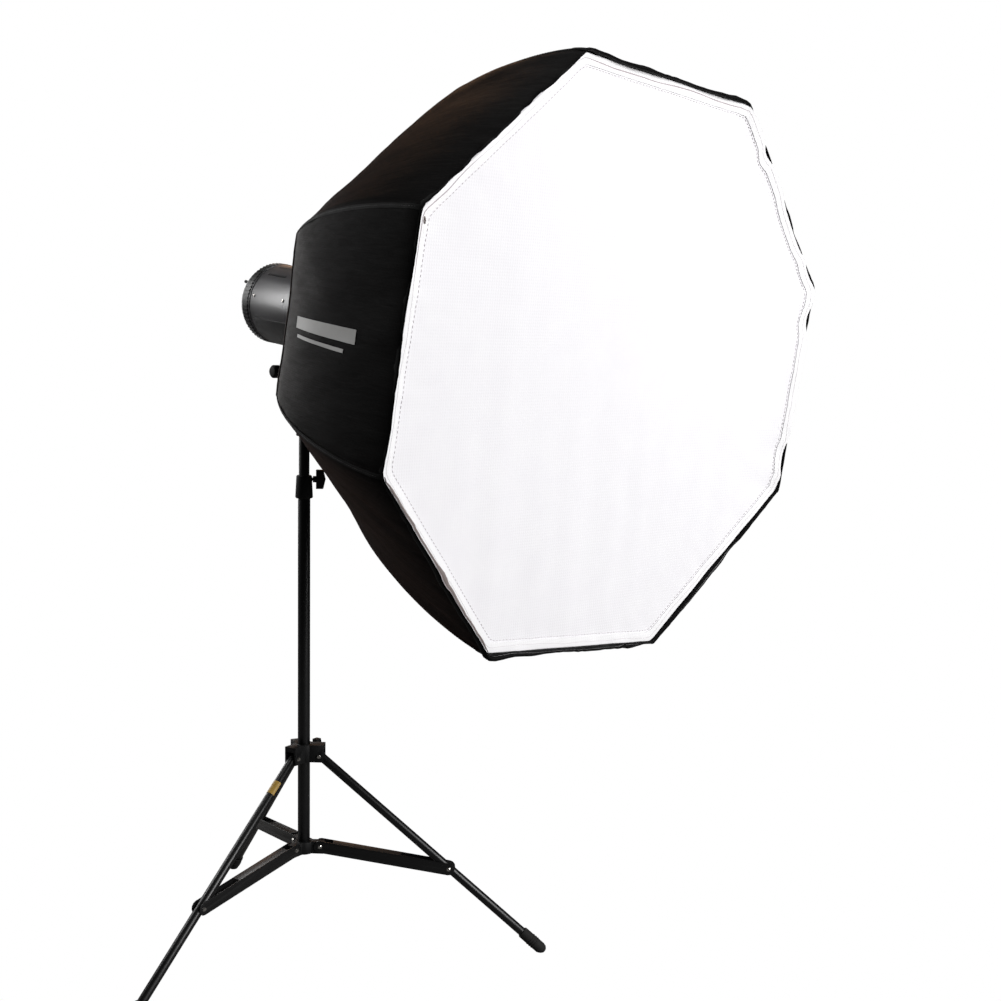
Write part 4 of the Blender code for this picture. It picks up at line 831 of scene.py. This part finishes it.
def make_diffuser():
    outline = octagon_ring(FRONT_RADIUS - 0.0030, PANEL_COLUMNS, 1, 1.0)
    covers = [hem_cover(i) for i in range(COLUMNS)]
    for index, cover in enumerate(covers):
        outline[index] *= 1 + 0.0036 * cover / FRONT_RADIUS
    depths = smoothed(np.array([hem_depth(index) * (1 - cover) - 0.0016 * cover
                                for index, cover in enumerate(covers)]), 3)
    points, uvs = [], []
    for ring in range(1, DIFFUSER_RINGS + 1):
        share = (ring / DIFFUSER_RINGS) ** RING_SPREAD
        for index in range(COLUMNS):
            x, up = outline[index] * share
            inward = (1 - share) * math.hypot(*outline[index])
            pucker = noise.noise(Vector((index / 2.6, inward / 0.05, 3.3)))
            pucker *= math.exp(-inward / 0.045) * min(1.0, inward / 0.004)
            lower = max(0.0, -up / FRONT_RADIUS)
            folds = noise.noise(Vector((x / 0.045, up / 0.30, 8.1))) * (0.3 + 1.3 * lower)
            slack = noise.noise(Vector((x / 0.20, up / 0.24, 1.1)))
            billow = 0.006 * (1 - share ** 2)
            doubled = 0.0007 if inward < 0.014 else 0.0
            back = FRONT + 0.0095 * (1 - share ** 12) + depths[index] * share ** 12
            back += billow - doubled + 0.0014 * pucker + 0.0022 * folds * (1 - share ** 4)
            back += 0.0016 * slack * (1 - share ** 4)
            points.append(in_head(x, up, back))
            uvs.append((x, up))
    faces = ring_faces(DIFFUSER_RINGS - 1, COLUMNS)
    faces += close_middle(points, uvs, COLUMNS, FRONT + 0.0155)
    cloth = mesh_of(points, faces, uvs)
    if cloth.data.polygons[COLUMNS * 20].normal.dot(REAR) > 0:
        reshape(cloth, bpy.ops.mesh.flip_normals)
    thicken(cloth, 0.0006, -1)
    keep_modifiers(cloth)
    cloth_piece(cloth, "diffuser_cloth", materials["diffuser"])
    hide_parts("front_diffuser")
    return cloth, np.array(points[:-1]).reshape(DIFFUSER_RINGS, COLUMNS, 3)


diffuser, diffuser_grid = make_diffuser()


def hem_line(inset):
    """The diffuser's surface at a distance in from its edge, a little proud of it."""
    target = 1 - inset / (FRONT_RADIUS * math.cos(math.pi / SIDES))
    ring = (target ** (1 / RING_SPREAD)) * DIFFUSER_RINGS - 1
    low = int(ring)
    line = diffuser_grid[low] + (diffuser_grid[low + 1] - diffuser_grid[low]) * (ring - low)
    return line - np.array(REAR) * 0.0004


def make_hem_band():
    """The diffuser's doubled hem: a whiter band round its edge."""
    steps = 6
    points, uvs = [], []
    for step in range(steps + 1):
        line = hem_line(0.0010 + 0.0135 * step / steps) - np.array(REAR) * 0.0003
        points += list(line)
        uvs += [((Vector(p) - head_centre).dot(RIGHT), (Vector(p) - head_centre).dot(UP))
                for p in line]
    band = mesh_of(points, ring_faces(steps, COLUMNS), uvs)
    thicken(band, 0.0006, 0)
    keep_modifiers(band)
    return cloth_piece(band, "diffuser_hem", hem_white)


hem_band = make_hem_band()


def make_hem_shade_ridge():
    """A grey ridge along the hem, strongest along the top: painted shade along the step at the hem's
    edge.
    """
    line = hem_line(0.0055) - np.array(REAR) * 0.0004
    inner = hem_line(0.0090) - np.array(REAR) * 0.0004
    drift = np.array([0.5 + noise.noise(Vector((i / 9.0, 2.5, 7.7))) for i in range(COLUMNS)])
    line = line + (inner - line) * drift[:, None]
    strength = []
    for index in range(COLUMNS):
        gore, share = divmod(index / PANEL_COLUMNS, 1)
        full = (gore == 1) or (gore == 2 and share > 0.72) or (gore == 3 and share < 0.22)
        strength.append(1.0 if full else 0.12)
    strength = smoothed(np.array(strength), 10)
    strength *= [1 + 0.4 * noise.noise(Vector((i / 5.0, 6.1, 0.2))) for i in range(COLUMNS)]
    ridge = swept(line, edge_out * strength[:, None], rear_way, oval(0.0018, 0.0010, 8))
    return cloth_piece(ridge, "hem_shade_ridge", grey_hem_painted_shade)


hem_shade_ridge = make_hem_shade_ridge()
hem_rows = [stitches("hem_stitches_%d" % (i + 1), closed_line(hem_line(inset)),
                     closed_line(-rear_way), 0.0040, 0.0007, grey_thread)
            for i, inset in enumerate((0.0130, 0.0170))]


def make_hem_shade_dot():
    """A small grey bead with two ends at the corner on the far left: painted shade on the hem there.
    """
    place = diffuser_grid[-2][3 * PANEL_COLUMNS + 1] - np.array(REAR) * 0.0012
    shade_dot = started(bpy.ops.mesh.primitive_uv_sphere_add, place, Matrix.Identity(3), segments=20,
                   ring_count=12, radius=0.0017, scale=(1.0, 0.7, 1.6))
    bpy.ops.object.transform_apply(location=False, rotation=False, scale=True)
    reshape(shade_dot, bpy.ops.transform.rotate, value=0.3, orient_axis="Y",
            center_override=tuple(place))
    ends = [bar((0.0010, 0.0010, 0.0050), Vector(place) + Vector((dx, 0, -0.0040)),
                Matrix.Rotation(turn, 3, "Y"), 0.0003)
            for dx, turn in ((0.001, 0.25), (-0.001, -0.3))]
    return finished(joined([shade_dot] + ends), "hem_shade_dot", grey_painted_light_shade, "softbox", 50)


shade_dot = make_hem_shade_dot()


BAFFLE_RADIUS = 0.3946
BAFFLE_DEPTH = 0.2004           # behind the front edge


def make_baffle():
    """The inner sheet, held by its corners, so that its edges draw in between them."""
    back = FRONT + BAFFLE_DEPTH
    columns, rings = 24, 14
    outline = octagon_ring(BAFFLE_RADIUS, columns, 1)
    points, uvs = [], []
    total = SIDES * columns
    for ring in range(1, rings + 1):
        share = ring / rings
        for index in range(total):
            across = (index % columns) / columns
            draw = 1 - 0.045 * math.sin(math.pi * across) * share ** 2
            x, up = outline[index] * share * draw
            wave = 0.0018 * noise.noise(Vector((x / 0.06, up / 0.09, 4.4)))
            points.append(in_head(x, up, back + wave))
            uvs.append((x, up))
    faces = ring_faces(rings - 1, total)
    faces += close_middle(points, uvs, total, back)
    cloth = mesh_of(points, faces, uvs)
    thicken(cloth, 0.0005, 0)
    keep_modifiers(cloth)
    cloth_piece(cloth, "baffle_cloth", materials["diffuser"])
    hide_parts("inner_baffle")


make_baffle()

# ---------------------------------------------------------------- flash head
def in_head_turned(angle, radius, back):
    """A place on the barrel: angle from the right, counter-clockwise seen from the rear."""
    return in_head(radius * math.cos(angle), radius * math.sin(angle), back)


def make_tray():
    """The black under-tray of the barrel, with a lip along each side where it meets the grey."""
    tray = started(bpy.ops.mesh.primitive_cylinder_add, in_head(0, 0, -0.060), HEAD_TURN,
                   vertices=96, radius=BARREL_RADIUS + 0.0004, depth=0.262,
                   end_fill_type="NOTHING")
    # the mesh's own +Y points down
    select_faces(tray, lambda centre, normal: centre.y < BARREL_RADIUS * 0.30)
    bpy.ops.mesh.delete(type="FACE")
    bpy.ops.object.mode_set(mode="OBJECT")
    thicken(tray, 0.0010, 1)
    round_edges(tray, 0.0004, 50)
    keep_modifiers(tray)
    finished(tray, "barrel_tray", materials["cover"], "head")


make_tray()


def make_grip_ring():
    """The rear cover's ribbed grip: a band of fine teeth round its front half."""
    teeth = 64
    band = started(bpy.ops.mesh.primitive_cylinder_add, in_head(0, 0, 0.0945), HEAD_TURN,
                   vertices=teeth * 2, radius=BARREL_RADIUS + 0.0004, depth=0.0150,
                   end_fill_type="NOTHING")
    angle_step = math.tau / (teeth * 2)
    select_faces(band, lambda centre, normal: int(round(
        (math.atan2(centre.y, centre.x) - angle_step / 2) / angle_step)) % 2 == 0)
    bpy.ops.mesh.inset(thickness=0.0003, depth=0.0012, use_individual=True)
    bpy.ops.object.mode_set(mode="OBJECT")
    thicken(band, 0.0006, -1)
    keep_modifiers(band)
    finished(band, "grip_ring", materials["cover"], "head", 30)


make_grip_ring()


def make_screw(place, turn, radius=0.0026, height=0.0014):
    """A pan-head screw with a cross recess."""
    head = peg(radius, height, place, turn, 0.0006, 24)
    top = Vector(place) + turn @ Vector((0, 0, height))
    slots = [bar((radius * 1.2, 0.0005, 0.0003), top,
                 turn @ Matrix.Rotation(math.radians(a), 3, "Z"), 0.0001) for a in (20, 110)]
    return joined([head] + slots)


def facing_out(angle):
    """A turn whose +Z points out of the barrel at an angle, and whose +X lies along it."""
    out = RIGHT * math.cos(angle) + UP * math.sin(angle)
    return Matrix((REAR, out.cross(REAR), out)).transposed()


barrel_screws = [make_screw(in_head_turned(math.radians(a), BARREL_RADIUS - 0.0002, back),
                            facing_out(math.radians(a)))
                 for a in (12, 168) for back in (-0.165, -0.020, 0.070)]
finished(joined(barrel_screws), "barrel_screws", materials["rivet"], "head")

louvres = []
for side in (60, 120):
    angle = math.radians(side)
    for step in range(9):
        place = in_head_turned(angle, BARREL_RADIUS - 0.0014, 0.012 + step * 0.0062)
        louvres.append(bar((0.0024, 0.030, 0.0016), place, facing_out(angle), 0.0006))
finished(joined(louvres), "barrel_louvres", materials["cover"], "head")


def bead(radius, height, width, place, turn, segments=96):
    """A bead rolled or moulded round an axis: a ring whose oval section is wider than it is high."""
    ring = started(bpy.ops.mesh.primitive_torus_add, place, turn, major_radius=radius,
                   minor_radius=height, major_segments=segments, minor_segments=12)
    return reshape(ring, bpy.ops.transform.resize, value=(1, 1, width / height),
                   orient_type="LOCAL")


# The rolled beads near the barrel's two ends
for name, back in (("barrel_front_bead", -0.1985), ("barrel_rear_bead", 0.0815)):
    ring = bead(BARREL_RADIUS - 0.0002, 0.0011, 0.0016, in_head(0, 0, back), HEAD_TURN)
    finished(ring, name, materials["barrel"], "head", 60)


# ---------------------------------------------------------------- rear panel
def on_panel(x, up, out=0.0):
    return in_head(x, up, PANEL_FACE + out)


POWER_DIAL = (0.022, 0.018)
MODELLING_DIAL = (-0.022, 0.018)
DIAL_TOP = 0.0123               # a dial's top over the panel
DIAL_RADIUS = 0.0110
LAMP_PLACES = ((-0.012, 0.0335), (0.012, 0.0335))
SYNC_SOCKET = (0.0, -0.004)
FUSE_CAP = (0.006, -0.036)
PANEL_SCREWS = 0.0475           # from the panel's middle
MAINS_INLET = (-0.014, -0.022)

for name, (dial_x, dial_up) in (("power", POWER_DIAL), ("modelling", MODELLING_DIAL)):
    body = name + "_dial"
    # a knurled cap over the plain dial, with a printed pointer
    cap = peg(DIAL_RADIUS, DIAL_TOP, on_panel(dial_x, dial_up, 0.0004), HEAD_TURN, 0.0012, 48, 0.0022,
              0.0006)
    teeth = [bar((0.0009, 0.0007, DIAL_TOP * 0.75),
                 on_panel(dial_x + DIAL_RADIUS * math.cos(a),
                          dial_up + DIAL_RADIUS * math.sin(a), DIAL_TOP * 0.45),
                 HEAD_TURN @ Matrix.Rotation(-a, 3, "Z"), 0.0002)
             for a in (math.tau * i / 24 for i in range(24))]
    dial = finished(joined([cap] + teeth), body + "_cap", materials["dial"], body)
    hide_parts(body)
    pointer = bar((0.0009, 0.0060, 0.0004), on_panel(dial_x, dial_up + 0.0058, DIAL_TOP + 0.0004),
                  HEAD_TURN, 0.0001)
    finished(pointer, body + "_pointer", print_ink, body)
    ticks = []
    for step in range(11):
        a = math.radians(225 - 27 * step)
        long_tick = step % 5 == 0
        reach = 0.0138 + (0.0006 if long_tick else 0.0)
        ticks.append(bar((0.0022 if long_tick else 0.0014, 0.0005, 0.0002),
                         on_panel(dial_x + reach * math.cos(a), dial_up + reach * math.sin(a),
                                  0.0001), HEAD_TURN @ Matrix.Rotation(-a, 3, "Z"), 0.00005))
    finished(joined(ticks), body + "_scale", print_ink, "head")

lamps = [peg(0.0016, 0.0014, on_panel(*at), HEAD_TURN, 0.0006, 20) for at in LAMP_PLACES]
finished(joined(lamps), "ready_lamps", green_lens, "head")
bezels = [peg(0.0026, 0.0007, on_panel(*at), HEAD_TURN, 0.0002, 24) for at in LAMP_PLACES]
finished(joined(bezels), "ready_lamp_bezels", materials["cover"], "head")

sync = [peg(0.0052, 0.0030, on_panel(*SYNC_SOCKET), HEAD_TURN, 0.0006, 6),
        peg(0.0040, 0.0042, on_panel(*SYNC_SOCKET), HEAD_TURN, 0.0005, 32, 0.0016, 0.0032)]
finished(joined(sync), "sync_socket", materials["spigot"], "head")

fuse = [peg(0.0062, 0.0048, on_panel(*FUSE_CAP), HEAD_TURN, 0.0008, 12, 0.0020, 0.0004),
        bar((0.0070, 0.0010, 0.0010), on_panel(*FUSE_CAP, 0.0046), HEAD_TURN, 0.0002)]
finished(joined(fuse), "fuse_cap", materials["cover"], "head")

screws = [make_screw(on_panel(PANEL_SCREWS * math.cos(a), PANEL_SCREWS * math.sin(a)), HEAD_TURN)
          for a in (math.radians(d) for d in (35, 145, 215, 325))]
finished(joined(screws), "panel_screws", materials["rivet"], "head")

pins = [peg(0.0011, 0.0085, on_panel(MAINS_INLET[0] + x, MAINS_INLET[1] + up, -0.0122), HEAD_TURN,
            0.0003, 12) for x, up in ((-0.0060, 0.0014), (0.0060, 0.0014), (0.0, -0.0030))]
finished(joined(pins), "inlet_pins", contact_pin, "head")

# ---------------------------------------------------------------- stand and bracket
BODY_OF = {node: body for body, members in frame["record"]["behaviour"]["bodies"].items()
           for node in members}
SLOT_OF = {part["node"]: part["material_slot"] for part in frame["record"]["subparts"]}
ROUNDED = {
    "lower_clamp": 0.0008, "mid_clamp": 0.0008, "leg_collar": 0.0008, "spreader_hub": 0.0008,
    "lower_clamp_knob": 0.0010, "mid_clamp_knob": 0.0010, "leg_collar_knob": 0.0010,
    "socket_knob": 0.0010, "bracket_socket": 0.0008, "tilt_yoke": 0.0010, "tilt_handle": 0.0008,
    "rear_cover": 0.0006, "mains_inlet": 0.0004, "power_switch": 0.0005,
    "bayonet_release": 0.0005, "test_button": 0.0005, "spigot": 0.0004,
    "brace_right": 0.0004, "brace_left": 0.0004, "brace_back": 0.0004,
    "head_barrel": 0.0003, "lower_tube": 0.0003, "mid_tube": 0.0003, "top_tube": 0.0003,
    "leg_right": 0.0003, "leg_left": 0.0003, "leg_back": 0.0003, "leg_tip_right": 0.0005,
    "leg_tip_left": 0.0005, "leg_tip_back": 0.0005, "control_panel": 0.0003,
}
for node, width in ROUNDED.items():
    softened(node, BODY_OF[node], SLOT_OF[node], width)


def leg_lines(side):
    """A leg's hinge, the way down along it, and the way out of its upper side."""
    hinge = Vector(joint["leg_%s_fold" % side]["pos_m"])
    outward = Vector((hinge.x - column_foot.x, hinge.y - column_foot.y, 0)).normalized()
    across, along = math.cos(LEG_SPREAD), math.sin(LEG_SPREAD)
    return hinge, outward * along - Vector((0, 0, across)), outward * across + Vector((0, 0, along))


TIP_RINGS = (0.5120, 0.5170, 0.5220)        # from the leg's hinge
LABEL_FROM_HINGE = 0.068
LABEL_LENGTH = 0.026
LABEL_RADIUS = 0.00815

# Three grip rings moulded into each rubber tip, and the plug that closes the tube's upper end
for side in ("right", "left", "back"):
    hinge, down_leg, _ = leg_lines(side)
    turn = down_leg.to_track_quat("Z", "Y").to_matrix()
    rings = [bead(0.0104, 0.0009, 0.0013, hinge + down_leg * distance, turn, 40)
             for distance in TIP_RINGS]
    finished(joined(rings), "leg_tip_%s_rings" % side, materials["rubber"], "leg_" + side,
             60)
    upward = (-down_leg).to_track_quat("Z", "Y").to_matrix()
    plug = peg(0.0074, 0.0016, hinge - down_leg * 0.0080, upward, 0.0005, 32, 0.002, 0.0003)
    finished(plug, "leg_plug_" + side, materials["casting"], "leg_" + side)


def make_label():
    """A plain paper label, wrapped over the upper side of the left leg."""
    hinge, down_leg, upper = leg_lines("left")
    turn = Matrix((upper, down_leg.cross(upper), down_leg)).transposed()
    label = started(bpy.ops.mesh.primitive_cylinder_add, hinge + down_leg * LABEL_FROM_HINGE, turn,
                    vertices=48, radius=LABEL_RADIUS, depth=LABEL_LENGTH, end_fill_type="NOTHING")
    select_faces(label, lambda centre, normal: centre.x < 0.001)
    bpy.ops.mesh.delete(type="FACE")
    bpy.ops.object.mode_set(mode="OBJECT")
    thicken(label, 0.00015, 1)
    keep_modifiers(label)
    finished(label, "leg_label", paper_label, "leg_left")


make_label()

# ---------------------------------------------------------------- floor and light
bpy.ops.object.select_all(action="DESELECT")
bpy.ops.mesh.primitive_plane_add(size=60, location=(0, 0, -0.0005))
floor = bpy.context.object
floor.name = "floor"


def lit_background(owner, surface, output):
    """Show a plain white ground behind the object, which lights it far less than it shows."""
    white = add_node(owner, "ShaderNodeEmission", {"Color": colour("#ffffff"), "Strength": 1.0})
    seen = add_node(owner, "ShaderNodeLightPath").outputs["Is Camera Ray"]
    choose = add_node(owner, "ShaderNodeMixShader",
                      {"Fac": seen, 1: surface, 2: white.outputs["Emission"]})
    tree = owner.node_tree
    tree.links.new(choose.outputs["Shader"], tree.nodes[output].inputs["Surface"])


floor_paint, floor_shader = new_material("white_floor", Roughness=0.9)
floor_shader.inputs["Base Color"].default_value = colour("#787878")
lit_background(floor_paint, floor_shader.outputs["BSDF"], "Material Output")
floor.data.materials.append(floor_paint)

world = bpy.data.worlds.new("studio")
bpy.context.scene.world = world
world.use_nodes = True
backdrop = world.node_tree.nodes["Background"]
backdrop.inputs["Color"].default_value = colour("#ffffff")
backdrop.inputs["Strength"].default_value = 0.03
lit_background(world, backdrop.outputs["Background"], "World Output")


def area_light(name, place, target, size, watts, tint="#ffffff"):
    light = bpy.data.lights.new(name, "AREA")
    light.color = colour(tint)[:3]
    light.shape = "RECTANGLE"
    light.size, light.size_y = size
    light.energy = watts
    obj = bpy.data.objects.new(name, light)
    bpy.context.scene.collection.objects.link(obj)
    obj.location = place
    obj.rotation_euler = (Vector(target) - Vector(place)).to_track_quat("-Z", "Y").to_euler()


area_light("front_light", (1.0, -3.6, 1.9), in_head(0, 0, FRONT), (1.8, 1.8), 134)
area_light("top_light", (0.4, 0.9, 3.9), head_centre, (1.4, 1.4), 22)
area_light("warm_rim_light", (2.2, 2.8, 3.2), in_head(-0.25, 0.25, -0.45), (0.8, 0.8), 14,
           "#ffc79a")
area_light("rear_light", (0.9, 4.4, 1.5), (0, 0, 0.9), (2.0, 2.0), 45)
area_light("barrel_light", (-1.5, 2.7, 2.25), head_centre, (0.8, 1.7), 42)

bpy.context.scene.view_settings.view_transform = "Standard"

# ---------------------------------------------------------------- scene update
bpy.context.view_layer.update()
